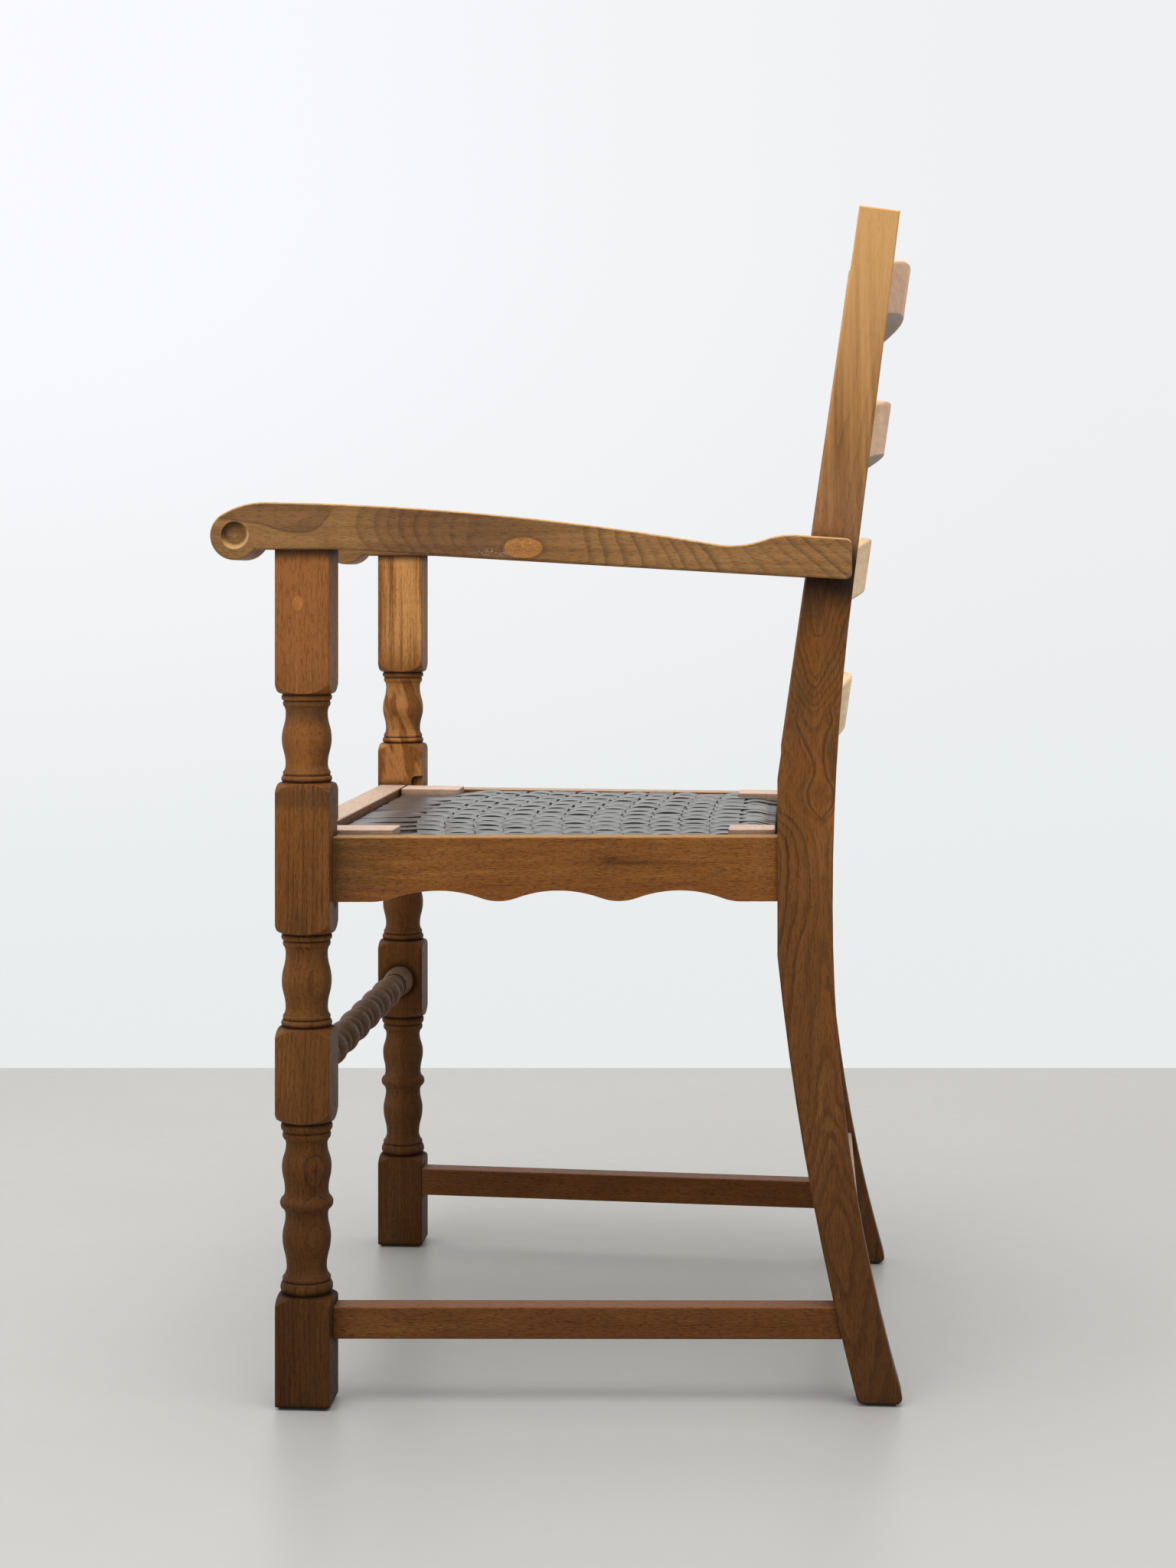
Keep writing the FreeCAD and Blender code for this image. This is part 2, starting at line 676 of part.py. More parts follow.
def build_back_post(label, side):
    body = new_body(label)
    thickness = of("post_thickness")
    board = pad(body, draw(body, "YZ_Plane", "Side", [post_outline()]), thickness)
    foot = soften(body, board, of("post_foot_round"),
                  lambda edge: along(0)(edge) and edge.CenterOfMass.z < kick_start.value / 2)
    soften(body, foot, of("post_arris"), square_to(0))
    slip = of("glue_line") * 2
    centre = thickness / 2

    def from_inside(sketch_name, outline, depth, circles=()):
        """A mortise cut from the face that looks at the other post."""
        start = depth if side == LEFT else thickness + of("overrun")
        length = depth + of("overrun")
        pocket(body, draw(body, "YZ_Plane", sketch_name, outline, circles, offset=start), length)

    def from_front(sketch_name, low, high, depth, enter, slope, width, start_u):
        slot = strip(enter - slope * of("overrun"), start_u - of("overrun"),
                     enter + slope * depth, start_u + depth, width)
        pocket(body, draw(body, "XY_Plane", sketch_name, [slot], offset=high), high - low)

    middle = side_rail_middle()
    half_tall = of("rail_tenon_height") / 2 + of("glue_line")
    from_front("SideMortise", middle - half_tall, middle + half_tall,
               side_rear_tenon_length() + of("end_gap"), centre, rail_slope * side,
               of("rail_tenon_thickness") + slip, size(0))
    low = of("stretcher_bottom") + of("stretcher_shoulder") - of("glue_line")
    high = of("stretcher_bottom") + of("stretcher_height") - of("stretcher_shoulder")
    from_front("StretcherMortise", low, high + of("glue_line"),
               of("stretcher_tenon_length") + of("end_gap") + stretcher_cope(), centre,
               stretcher_slope() * side, stretcher_tenon_thickness() + slip,
               post_front(of("stretcher_bottom") + of("stretcher_height")))
    back_near = of("back_rail_setback") + of("back_rail_thickness")
    back_far = back_near - of("rail_tenon_thickness")
    from_inside("BackMortise", [rectangle(back_far - of("glue_line"), middle - half_tall,
                                          back_near + of("glue_line"), middle + half_tall)],
                of("rail_tenon_length") + of("end_gap"))
    cross_low = back_stretcher_bottom + of("stretcher_shoulder") - of("glue_line")
    cross_high = (back_stretcher_bottom + of("stretcher_height")
                  - of("stretcher_shoulder") + of("glue_line"))
    cross_u = back_stretcher_y() - post_y
    half_thick = stretcher_tenon_thickness() / 2 + of("glue_line")
    from_inside("CrossMortise", [rectangle(cross_u - half_thick, cross_low,
                                           cross_u + half_thick, cross_high)],
                of("stretcher_tenon_length") + of("end_gap"))
    for number in range(SLATS):
        low, high = slat_tenon_span()
        near, far = slat_tenon_depths()
        slot = raked_box(low - of("glue_line"), high + of("glue_line"),
                         near - of("glue_line"), far + of("glue_line"), slat_base(number))
        from_inside("SlatMortise", [slot], of("slat_tenon_length") + of("end_gap"))
    # Blind hole in the outer face for the arm's dowel
    hole = of("arm_dowel_diameter") / 2 + of("glue_line")
    depth = of("arm_dowel_depth") + of("end_gap")
    start = thickness + of("overrun") if side == LEFT else depth
    circle = (arm_dowel_y() - post_y, arm_dowel_height, hole)
    pocket(body, draw(body, "YZ_Plane", "DowelHole", circles=[circle], offset=start),
           depth + of("overrun"))
    place(body, post_inner_x if side == LEFT else -post_outer_x, post_y, 0)
    return body


# Shared joint sizes

def side_rail_middle():
    return (rail_top + of("rail_bottom") + of("arch_rise")) / 2


def side_front_tenon_length():
    """As deep as the leg allows beside the front rail's tenon."""
    taken = of("front_rail_setback") + (of("front_rail_thickness") + of("rail_tenon_thickness")) / 2
    return of("leg_square") - taken - of("front_tenon_web") - of("end_gap")


def side_rear_tenon_length():
    """As deep as the post allows in front of the back rail's tenon."""
    free = of("back_rail_setback") + of("back_rail_thickness") - of("rail_tenon_thickness")
    return free - of("rear_tenon_web") - of("end_gap")


def front_rail_y():
    return front_y + of("front_rail_setback") + of("front_rail_thickness") / 2


def stretcher_tenon_thickness():
    return of("stretcher_thickness") - of("stretcher_shoulder") * 2


def stretcher_slope():
    reach = post_front(of("stretcher_bottom") + of("stretcher_height"))
    return (post_x - stretcher_front_x) / (post_y + reach - leg_back_y)


def stretcher_cope():
    """How much further back the post stands at the stretcher's top edge than at its bottom."""
    low = post_front(of("stretcher_bottom"))
    return low - post_front(of("stretcher_bottom") + of("stretcher_height"))


def back_stretcher_y():
    height = back_stretcher_bottom + of("stretcher_height") / 2
    return post_y + post_front(height) + of("post_foot_depth") / 2


def slat_end_height():
    return of("slat_height") + of("slat_arch_rise") - of("slat_crest_rise")


def slat_tenon_span():
    low = (slat_end_height() - of("slat_tenon_height")) / 2
    return low, low + of("slat_tenon_height")


def slat_tenon_depths():
    """The tenon's two faces, measured back from the post's front edge."""
    middle = of("slat_inset") + of("slat_thickness") / 2
    half = of("slat_tenon_thickness") / 2
    return middle - half, middle + half


def arm_dowel_y():
    """The dowel goes through the middle of the post's upper part."""
    return post_y + post_front(arm_dowel_height) + of("post_upper_depth") / 2


# Seat rails
ARCH_SHARES = ((0.085, 0.0), (0.238, 1.0), (0.372, 0.0), (0.506, 1.0), (0.643, 0.0), (0.78, 1.0),
               (0.918, 0.0))
PENDANT_SHARE = 0.3


def scallops(start, end):
    """The waste under a rail: three flat arches with rounded pendants between them."""
    length = end - start
    bottom = of("rail_bottom")
    arch = bottom + of("arch_rise")
    outline = Outline(start + length * ARCH_SHARES[0][0], bottom - of("overrun"))
    outline.line(start + length * ARCH_SHARES[0][0], bottom)
    for place_share, height_share in ARCH_SHARES[1:]:
        last = place_share == ARCH_SHARES[-1][0]
        low = bottom if last else bottom + of("pendant_rise")
        share = PENDANT_SHARE if height_share else 1 - PENDANT_SHARE
        outline.ogee_along(start + length * place_share, arch if height_share else low, share)
    outline.line(start + length * ARCH_SHARES[-1][0], bottom - of("overrun"))
    return outline.close()


def build_side_rail(label, side):
    body = new_body(label)
    shift = rail_slope * rail_run * side
    thick = of("side_rail_thickness")
    board = pad(body, draw(body, "XY_Plane", "Plan", [strip(size(0), size(0), shift, rail_run, thick)],
                           offset=of("rail_bottom")),
                rail_top - of("rail_bottom"))
    soften(body, board, of("rail_arris"), lambda edge: edge.CenterOfMass.z > side_rail_middle().value
           and edge.BoundBox.YLength > rail_run.value / 2)
    cut_start = thick + (shift if shift.value > 0 else -shift)
    pocket(body, draw(body, "YZ_Plane", "Scallops", [scallops(size(0), rail_run)], offset=cut_start),
           cut_start * 2)
    base = side_rail_middle() - of("rail_tenon_height") / 2
    slope = rail_slope * side
    front, rear = side_front_tenon_length(), side_rear_tenon_length()
    width = of("rail_tenon_thickness")
    tenons = [strip(-slope * front, -front, size(0), size(0), width),
              strip(shift, rail_run, shift + slope * rear, rail_run + rear, width)]
    for outline in tenons:
        pad(body, draw(body, "XY_Plane", "Tenon", [outline], offset=base), of("rail_tenon_height"))
    place(body, rail_front_x * side, leg_back_y, 0)
    return body


def build_cross_rail(label, half_span, y, top, thickness, tenon_y, shaped):
    """The front or the back seat rail. The front one has the scalloped lower edge."""
    body = new_body(label)
    low, high = -(thickness / 2), thickness / 2
    board = pad(body, draw(body, "XY_Plane", "Plan", [rectangle(-half_span, low, half_span, high)],
                           offset=of("rail_bottom")),
                top - of("rail_bottom"))
    soften(body, board, of("rail_arris"), lambda edge: edge.CenterOfMass.z > side_rail_middle().value
           and edge.BoundBox.XLength > half_span.value)
    if shaped:
        pocket(body, draw(body, "XZ_Plane", "Scallops", [scallops(-half_span, half_span)],
                          offset=thickness), thickness * 2)
    base = side_rail_middle() - of("rail_tenon_height") / 2
    half, length = of("rail_tenon_thickness") / 2, of("rail_tenon_length")
    for start, end in ((-half_span - length, -half_span), (half_span, half_span + length)):
        tenon = rectangle(start, tenon_y - half, end, tenon_y + half)
        pad(body, draw(body, "XY_Plane", "Tenon", [tenon], offset=base), of("rail_tenon_height"))
    place(body, 0, y, 0)
    return body


# Stretchers

def build_side_stretcher(label, side):
    body = new_body(label)
    slope = stretcher_slope()
    low, high = of("stretcher_bottom"), of("stretcher_bottom") + of("stretcher_height")
    start = leg_back_y - post_y
    top_u, low_u = post_front(high) - of("glue_line"), post_front(low) - of("glue_line")
    run = top_u - start
    shift = slope * run * side
    half = of("stretcher_thickness") / 2
    far = low_u + of("overrun")
    shift_far = slope * (far - start) * side
    blank = strip(size(0), start, shift_far, far, of("stretcher_thickness"))
    board = pad(body, draw(body, "XY_Plane", "Plan", [blank], offset=low), of("stretcher_height"))
    soften(body, board, of("rail_arris"), lambda edge: edge.BoundBox.YLength > run.value / 2)
    # The rear shoulder is coped to the sloping front edge of the post
    cope = (Outline(top_u, high).line(low_u, low).line(low_u, low - of("overrun"))
            .line(far + of("overrun"), low - of("overrun")).line(far + of("overrun"), high + of("overrun"))
            .line(top_u, high + of("overrun")).close())
    reach = half * 2 + (shift if shift.value > 0 else -shift)
    pocket(body, draw(body, "YZ_Plane", "Cope", [cope], offset=reach), reach * 2)
    width = stretcher_tenon_thickness()
    length = of("stretcher_tenon_length")
    rear_end = top_u + length + stretcher_cope()
    slope = slope * side
    tenons = [strip(-slope * length, start - length, size(0), start, width),
              strip(shift, top_u, shift + slope * (rear_end - top_u), rear_end, width)]
    for outline in tenons:
        pad(body, draw(body, "XY_Plane", "Tenon", [outline], offset=low + of("stretcher_shoulder")),
            of("stretcher_height") - of("stretcher_shoulder") * 2)
    place(body, stretcher_front_x * side, post_y, 0)
    return body


def build_back_stretcher(label):
    body = new_body(label)
    half = of("stretcher_thickness") / 2
    base = back_stretcher_bottom
    span = post_inner_x
    board = pad(body, draw(body, "XY_Plane", "Plan", [rectangle(-span, -half, span, half)], offset=base),
                of("stretcher_height"))
    soften(body, board, of("rail_arris"), lambda edge: edge.BoundBox.XLength > span.value)
    width = stretcher_tenon_thickness() / 2
    length = of("stretcher_tenon_length")
    for start, end in ((-span - length, -span), (span, span + length)):
        pad(body, draw(body, "XY_Plane", "Tenon", [rectangle(start, -width, end, width)],
                       offset=base + of("stretcher_shoulder")),
            of("stretcher_height") - of("stretcher_shoulder") * 2)
    place(body, 0, back_stretcher_y(), 0)
    return body


# The turned front stretcher. Bobbins stand between smaller rings, and each end is a plain
# swelling behind two fine rings. Places and widths are shares of the pitch.
BOBBINS = 6
BOBBIN_WIDTH_SHARE = 0.56
RING_WIDTH_SHARE = 0.28
FINE_RING_SHARES = (3.2, 3.32)
FINE_WIDTH_SHARE = 0.08
FINE_HEIGHT_SHARE = 0.022
SWELLING_SHARE = 3.42
SWELLING_LOW_SHARE = 0.4
SWELLING_BULGE_SHARE = 0.03


def bobbin_pitch():
    return (leg_inner_x - of("stretcher_plain_end")) / SWELLING_SHARE


def stretcher_beads():
    """Every bead from the middle outwards: its middle, its width and its height."""
    pitch = bobbin_pitch()
    neck = of("bobbin_neck_diameter")
    bobbin = (pitch * BOBBIN_WIDTH_SHARE, (of("bobbin_diameter") - neck) / 2)
    ring = (pitch * RING_WIDTH_SHARE, (of("ring_diameter") - neck) / 2)
    fine = (pitch * FINE_WIDTH_SHARE, pitch * FINE_HEIGHT_SHARE)
    beads = []
    for number in range(BOBBINS // 2):
        beads.append((pitch * (number + 0.5), *bobbin))
        beads.append((pitch * (number + 1), *ring))
    beads.extend((pitch * share, *fine) for share in FINE_RING_SHARES)
    mirrored = [(-middle, width, height) for middle, width, height in reversed(beads)]
    return mirrored + [(size(0), *ring)] + beads


def build_front_stretcher(label):
    body = new_body(label)
    span = leg_inner_x
    tenon, length = of("front_stretcher_tenon_diameter") / 2, of("front_stretcher_tenon_length")
    neck, bobbin = of("bobbin_neck_diameter") / 2, of("bobbin_diameter") / 2
    swelling = span - of("stretcher_plain_end")
    low = neck + (bobbin - neck) * SWELLING_LOW_SHARE
    bulge = (span - swelling) * SWELLING_BULGE_SHARE
    outline = Outline(-(span + length), 0).line(-(span + length), tenon).line(-span, tenon)
    outline.line(-span, bobbin).bulge(-swelling, low, bulge, -1).line(-swelling, neck)
    for middle, width, height in stretcher_beads():
        outline.line(middle - width / 2, neck)
        outline.bulge(middle + width / 2, neck, height, -1)
    outline.line(swelling, neck).line(swelling, low).bulge(span, bobbin, bulge, -1)
    outline.line(span, tenon).line(span + length, tenon).line(span + length, 0)
    sketch = draw(body, "XZ_Plane", "Profile", [outline.close()])
    item = body.newObject("PartDesign::Revolution", "Turned")
    item.Profile = sketch
    item.ReferenceAxis = (sketch, ["H_Axis"])
    item.Angle = 360
    sketch.Visibility = False
    place(body, 0, leg_y, of("front_stretcher_height"))
    return body


# Curved back slats

def build_slat(label, number):
    """A slat sawn to a bow in plan, with an arched crest and an arched lower edge."""
    body = new_body(label)
    span, bow, thick = post_inner_x, of("slat_bow"), of("slat_thickness")
    front = of("slat_inset")
    rear = front + thick
    plan = Outline(span, front).line(span, rear).bulge(-span, rear, bow, 1).line(-span, front)
    plan.bulge(span, front, bow, -1)
    height = of("slat_height") + of("slat_arch_rise")
    board = pad(body, draw(body, "XY_Plane", "Plan", [plan]), height)
    reach = span + of("overrun")
    end = slat_end_height()
    under = (Outline(-reach, -of("overrun")).line(reach, -of("overrun")).line(reach, 0)
             .line(span, 0).bulge(-span, 0, of("slat_arch_rise"), 1).line(-reach, 0).close())
    over = (Outline(-reach, end).line(-span, end).bulge(span, end, of("slat_crest_rise"), -1)
            .line(reach, end).line(reach, height + of("overrun"))
            .line(-reach, height + of("overrun")).close())
    for outline in (under, over):
        shaped = pocket(body, draw(body, "XZ_Plane", "Edge", [outline], offset=0),
                        rear + bow + of("overrun"))
    soften(body, shaped, of("slat_arris"), lambda edge: edge.BoundBox.XLength > span.value)
    low, high = slat_tenon_span()
    near, far = slat_tenon_depths()
    length = of("slat_tenon_length")
    for start in (-span - length, span):
        pad(body, draw(body, "YZ_Plane", "Tenon", [rectangle(near, low, far, high)], offset=start),
            length)
    base = slat_base(number)
    place(body, 0, post_y + post_front(base), base)
    lean = Size(-math.degrees(math.atan(of("post_rake").value / rake_rise.value)),
                f"-atan(Sizes.post_rake / {rake_rise.formula})")
    body.Placement.Rotation = FreeCAD.Rotation(FreeCAD.Vector(1, 0, 0), lean.value)
    body.setExpression("Placement.Rotation.Angle", lean.formula)
    return body


# Arms
# The top of the arm is one smooth line, given by the angle in degrees at which it runs at each
# place. Places are shares of the arm's length from the scroll's centre to its rear end.
SCROLL_ANGLE = 31.0
CROWN_ANGLE = -1.0
HOLLOW_ANGLE = -9.8
RISE_ANGLE = 20.0
REAR_ANGLE = -4.0
HOLLOW_SHARE = 0.781
RISE_SHARE = 0.860
REAR_SHARE = 0.912
REAR_DEPTH_SHARE = 0.85
UNDERSIDE_SHARE = 0.170
DISH_EDGE_SHARE = 0.62
DISH_EDGE_DEPTH_SHARE = 0.85
DISH_CURVE_SHARE = 0.5


def scroll_y():
    return front_y - of("arm_overhang")


def arm_length():
    """From the scroll's centre to the rear end, which stands past the dowel."""
    return arm_dowel_y() + of("arm_past_dowel") - scroll_y()


def arm_outline():
    length, scroll, under = arm_length(), of("scroll_radius"), -of("scroll_drop")
    outline = Outline((scroll * scroll - under * under).root(), under)
    outline.arc(scroll * -sine(SCROLL_ANGLE), scroll * cosine(SCROLL_ANGLE), scroll, -1, True)
    crown_v = of("arm_depth") - of("scroll_drop")
    fall = cosine(CROWN_ANGLE) - cosine(SCROLL_ANGLE)
    crown = (crown_v - scroll * cosine(SCROLL_ANGLE)) / fall
    crown_u = (crown - scroll) * sine(SCROLL_ANGLE) - crown * sine(CROWN_ANGLE)
    outline.arc(crown_u, crown_v, crown, -1)
    outline.sweep(length * HOLLOW_SHARE, CROWN_ANGLE, HOLLOW_ANGLE)
    outline.sweep(length * RISE_SHARE, HOLLOW_ANGLE, RISE_ANGLE)
    outline.sweep(length * REAR_SHARE, RISE_ANGLE, REAR_ANGLE)
    rise_u, rise_v = outline.points[-1]
    top = rise_v + (length - rise_u) * sine(REAR_ANGLE) / cosine(REAR_ANGLE)
    outline.line(length, top)
    outline.line(length, top - of("arm_depth") * REAR_DEPTH_SHARE)
    outline.line(length * UNDERSIDE_SHARE, under)
    return outline.close()


def build_arm(label, side):
    body = new_body(label)
    width = of("arm_width")
    board = pad(body, draw(body, "YZ_Plane", "Side", [arm_outline()]), width)
    rear = soften(body, board, of("arm_end_round"), lambda edge: along(0)(edge)
                  and edge.CenterOfMass.y > arm_length().value - of("overrun").value)
    soften(body, rear, of("arm_arris"), square_to(0))
    # Turned dish in the outer face of the scroll
    radius, depth = of("dish_radius"), of("dish_depth")
    face = width if side == LEFT else size(0)
    into = -side
    dish = Outline(face, 0).line(face - of("overrun") * into, 0)
    dish.line(face - of("overrun") * into, radius).line(face, radius)
    dish.arc(face + depth * DISH_EDGE_DEPTH_SHARE * into, radius * DISH_EDGE_SHARE,
             radius * DISH_CURVE_SHARE, side)
    dish.line(face + depth * into, 0).close()
    dish.points.pop(0)
    dish.edges.pop(0)
    turn_away(body, draw(body, "XY_Plane", "Dish", [dish]), "H_Axis")
    # Round mortise for the leg and blind hole for the dowel
    hole = of("leg_tenon_diameter") / 2 + of("glue_line")
    depth = of("leg_tenon_length") + of("end_gap")
    start = depth - of("scroll_drop")
    leg_u = leg_x - arm_inner_x()
    leg_u = leg_u if side == LEFT else width - leg_u
    pocket(body, draw(body, "XY_Plane", "LegMortise",
                      circles=[(leg_u, of("arm_overhang") + half_square, hole)], offset=start),
           depth + of("overrun"))
    dowel = of("arm_dowel_diameter") / 2 + of("glue_line")
    depth = of("arm_dowel_length") - of("arm_dowel_depth") + of("end_gap")
    start = depth if side == LEFT else width + of("overrun")
    scroll_z = of("leg_height") + of("scroll_drop")
    pocket(body, draw(body, "YZ_Plane", "DowelHole",
                      circles=[(arm_dowel_y() - scroll_y(), arm_dowel_height - scroll_z, dowel)],
                      offset=start), depth + of("overrun"))
    place(body, arm_inner_x() if side == LEFT else -(arm_inner_x() + width), scroll_y(), scroll_z)
    return body


def arm_inner_x():
    return post_outer_x


def build_dowels(label):
    """The two hidden dowels that pin the arms to the posts, as one group."""
    dowels = []
    for side in (LEFT, RIGHT):
        item = doc.addObject("Part::Cylinder", "Dowel")
        bind(item, "Radius", of("arm_dowel_diameter") / 2)
        bind(item, "Height", of("arm_dowel_length"))
        item.Placement.Rotation = FreeCAD.Rotation(FreeCAD.Vector(0, 1, 0), 90)
        start = post_outer_x - of("arm_dowel_depth")
        place(item, start if side == LEFT else -(start + of("arm_dowel_length")), 0, 0)
        dowels.append(item)
    group = doc.addObject("Part::Compound", label)
    group.Links = dowels
    place(group, 0, arm_dowel_y(), arm_dowel_height)
    return group


# The lift-out seat frame

seat_front_y = front_rail_y() + of("front_rail_thickness") / 2 + of("seat_front_gap")
seat_back_y = post_y - of("seat_back_gap")
seat_run = seat_back_y - seat_front_y
seat_slope = rail_slope


def seat_half(y):
    """Half the width of the seat frame at a place, parallel to the side rails."""
    return leg_inner_x - of("seat_leg_gap") + seat_slope * (y - seat_front_y)


def build_seat_side(label, side):
    body = new_body(label)
    wide = of("seat_bar_width")
    front, back = seat_half(seat_front_y), seat_half(seat_back_y)
    outline = strip((front - wide / 2) * side, seat_front_y, (back - wide / 2) * side, seat_back_y, wide)
    bar = pad(body, draw(body, "XY_Plane", "Plan", [outline]), of("seat_frame_height"))
    soften(body, bar, of("rail_arris"), lambda edge: edge.BoundBox.YLength > seat_run.value / 2)
    slip, length = of("glue_line"), of("seat_tenon_length") + of("end_gap")
    half = of("seat_tenon_thickness") / 2 + slip
    middle = of("seat_frame_height") / 2
    for start in (seat_front_y, seat_back_y - wide):
        inner = seat_half(start + wide / 2) - wide
        inset = of("seat_tenon_inset")
        slot = rectangle((inner - of("overrun")) * side, start + inset - slip,
                         (inner + length) * side, start + wide - inset + slip)
        pocket(body, draw(body, "XY_Plane", "Mortise", [slot], offset=middle + half), half * 2)
    place(body, 0, 0, seat_frame_bottom)
    return body


def build_seat_cross(label, start, end):
    """The front or the back bar of the seat frame, with a tenon at each end."""
    body = new_body(label)
    wide = of("seat_bar_width")
    near, far = seat_half(start) - wide, seat_half(end) - wide
    outline = Outline(-near, start).line(near, start).line(far, end).line(-far, end).close()
    bar = pad(body, draw(body, "XY_Plane", "Plan", [outline]), of("seat_frame_height"))
    soften(body, bar, of("rail_arris"), lambda edge: along(0)(edge)
           and edge.BoundBox.XLength > near.value)
    middle, half = of("seat_frame_height") / 2, of("seat_tenon_thickness") / 2
    inset = of("seat_tenon_inset")
    root = seat_half(start + wide / 2) - wide
    tip = root + of("seat_tenon_length")
    hidden = root - wide / 2
    for side in (LEFT, RIGHT):
        tenon = rectangle(hidden * side, start + inset, tip * side, end - inset)
        pad(body, draw(body, "XY_Plane", "Tenon", [tenon], offset=middle - half), half * 2)
    place(body, 0, 0, seat_frame_bottom)
    return body


def build_seat_corner(label, side, start, end):
    """A raised block that fills the corner of the seat frame beside the straps."""
    body = new_body(label)
    near, far = seat_half(start), seat_half(end)
    wide = of("corner_width")
    outline = Outline(near * side, start).line(far * side, end)
    outline.line((far - wide) * side, end).line((near - wide) * side, start).close()
    block = pad(body, draw(body, "XY_Plane", "Plan", [outline]), of("corner_height"))
    top = of("corner_height").value
    soften(body, block, of("corner_arris"), lambda edge: square_to(2)(edge)
           and edge.CenterOfMass.z > top / 2)
    place(body, 0, 0, seat_frame_top)
    return body


# Straps: one group runs from front to back, and the other from side to side on top of it

def strap_loop(start, end, level, drop):
    """The section of a strap that lies over the frame and turns down past both edges."""
    thick, gap = of("strap_thickness"), of("strap_gap")
    low, high = start - gap, end + gap
    base = level - drop
    outline = Outline(low, base).line(low, level).line(high, level).line(high, base)
    outline.line(high + thick, base).line(high + thick, level)
    outline.arc(high, level + thick, thick, 1).line(low, level + thick)
    outline.arc(low - thick, level, thick, 1).line(low - thick, base)
    return outline.close()


def strap_places(start, end, pitch, width):
    """Middles of the straps of one direction, as many as fit between two corner blocks."""
    room = end - start
    count = int((room.value - width.value) / pitch.value) + 1
    return [(start + end) / 2 + pitch * (number - (count - 1) / 2) for number in range(count)]


def build_straps(label, loops):
    """Several straps, each a loop drawn on its own plane, as one group of separate solids."""
    solids = []
    for number, (role, outline, start, width) in enumerate(loops):
        item = doc.addObject("Part::Extrusion", f"{label}_{number}")
        sketch = doc.addObject("Sketcher::SketchObject", f"{label}_section_{number}")
        add_outline(sketch, outline)
        turn = (FreeCAD.Rotation(FreeCAD.Vector(1, 1, 1), 120) if role == "YZ"
                else FreeCAD.Rotation(FreeCAD.Vector(1, 0, 0), 90))
        sketch.Placement = FreeCAD.Placement(FreeCAD.Vector(0, 0, 0), turn)
        if role == "YZ":
            sketch.setExpression("Placement.Base.x", start.formula)
            sketch.Placement.Base.x = start.value
        else:
            sketch.setExpression("Placement.Base.y", start.formula)
            sketch.Placement.Base.y = start.value
        item.Base = sketch
        item.DirMode = "Normal"
        item.Solid = True
        bind(item, "LengthFwd", width)
        solids.append(item)
    group = doc.addObject("Part::Compound", label)
    group.Links = solids
    place(group, 0, 0, seat_frame_top)
    return group


def lengthwise_loops():
    width = of("lengthwise_width")
    room = seat_half(seat_back_y) - of("corner_width")
    outline = strap_loop(seat_front_y, seat_back_y, of("strap_gap"), of("strap_turn_down"))
    return [("YZ", outline, middle - width / 2, width)
            for middle in strap_places(-room, room, of("lengthwise_pitch"), width)]


def crosswise_loops():
    width = of("crosswise_width")
    level = of("strap_gap") * 2 + of("strap_thickness")
    loops = []
    for middle in strap_places(seat_front_y + of("front_corner_length"),
                               seat_back_y - of("back_corner_length"),
                               of("crosswise_pitch"), width):
        half = seat_half(middle - width / 2)
        outline = strap_loop(-half, half, level, of("strap_turn_down"))
        loops.append(("XZ", outline, middle + width / 2, width))
    return loops


# Glued braces in the corners under the seat frame

def build_brace(label, side, cross_y, cross_x, inward):
    """A brace set across a corner, with one end on a cross rail and one on a side rail."""
    body = new_body(label)
    near_x = cross_x - of("brace_inset")
    near_y = cross_y + of("brace_side_inset") * inward
    far_x = near_x - of("brace_thickness")
    far_y = near_y + of("brace_thickness") * inward
    outline = Outline(far_x * side, cross_y).line(near_x * side, cross_y)
    outline.line(side_rail_inner(near_y) * side, near_y).line(side_rail_inner(far_y) * side, far_y)
    pad(body, draw(body, "XY_Plane", "Plan", [outline.close()]), of("brace_height"))
    place(body, 0, 0, seat_frame_bottom - of("brace_height"))
    return body


def side_rail_inner(y):
    return rail_front_x - of("side_rail_thickness") / 2 + rail_slope * (y - leg_back_y)


# Felt pads under the feet

def build_foot_pad(label, x, y, half_x, half_y):
    item = doc.addObject("Part::Box", label)
    bind(item, "Length", half_x * 2)
    bind(item, "Width", half_y * 2)
    bind(item, "Height", of("foot_pad_thickness"))
    place(item, x - half_x, y - half_y, 0)
    return item


# The chair, piece by piece
pieces = []
for name, side in (("left", LEFT), ("right", RIGHT)):
    pieces.append(build_front_leg(f"front_leg_{name}", side))
    pieces.append(build_back_post(f"back_post_{name}", side))
    pieces.append(build_arm(f"arm_{name}", side))
    pieces.append(build_side_rail(f"side_rail_{name}", side))
    pieces.append(build_side_stretcher(f"side_stretcher_{name}", side))

pieces.append(build_dowels("arm_dowels"))
pieces.append(build_cross_rail("front_rail", leg_inner_x, front_rail_y(), front_rail_top,
                               of("front_rail_thickness"), size(0), True))
back_rail_y = post_y + of("back_rail_setback") + of("back_rail_thickness") / 2
pieces.append(build_cross_rail("back_rail", post_inner_x, back_rail_y, rail_top,
                               of("back_rail_thickness"),
                               (of("back_rail_thickness") - of("rail_tenon_thickness")) / 2, False))
pieces.append(build_front_stretcher("front_stretcher"))
pieces.append(build_back_stretcher("back_stretcher"))
for number in range(SLATS):
    pieces.append(build_slat(f"back_slat_{number + 1}", number))

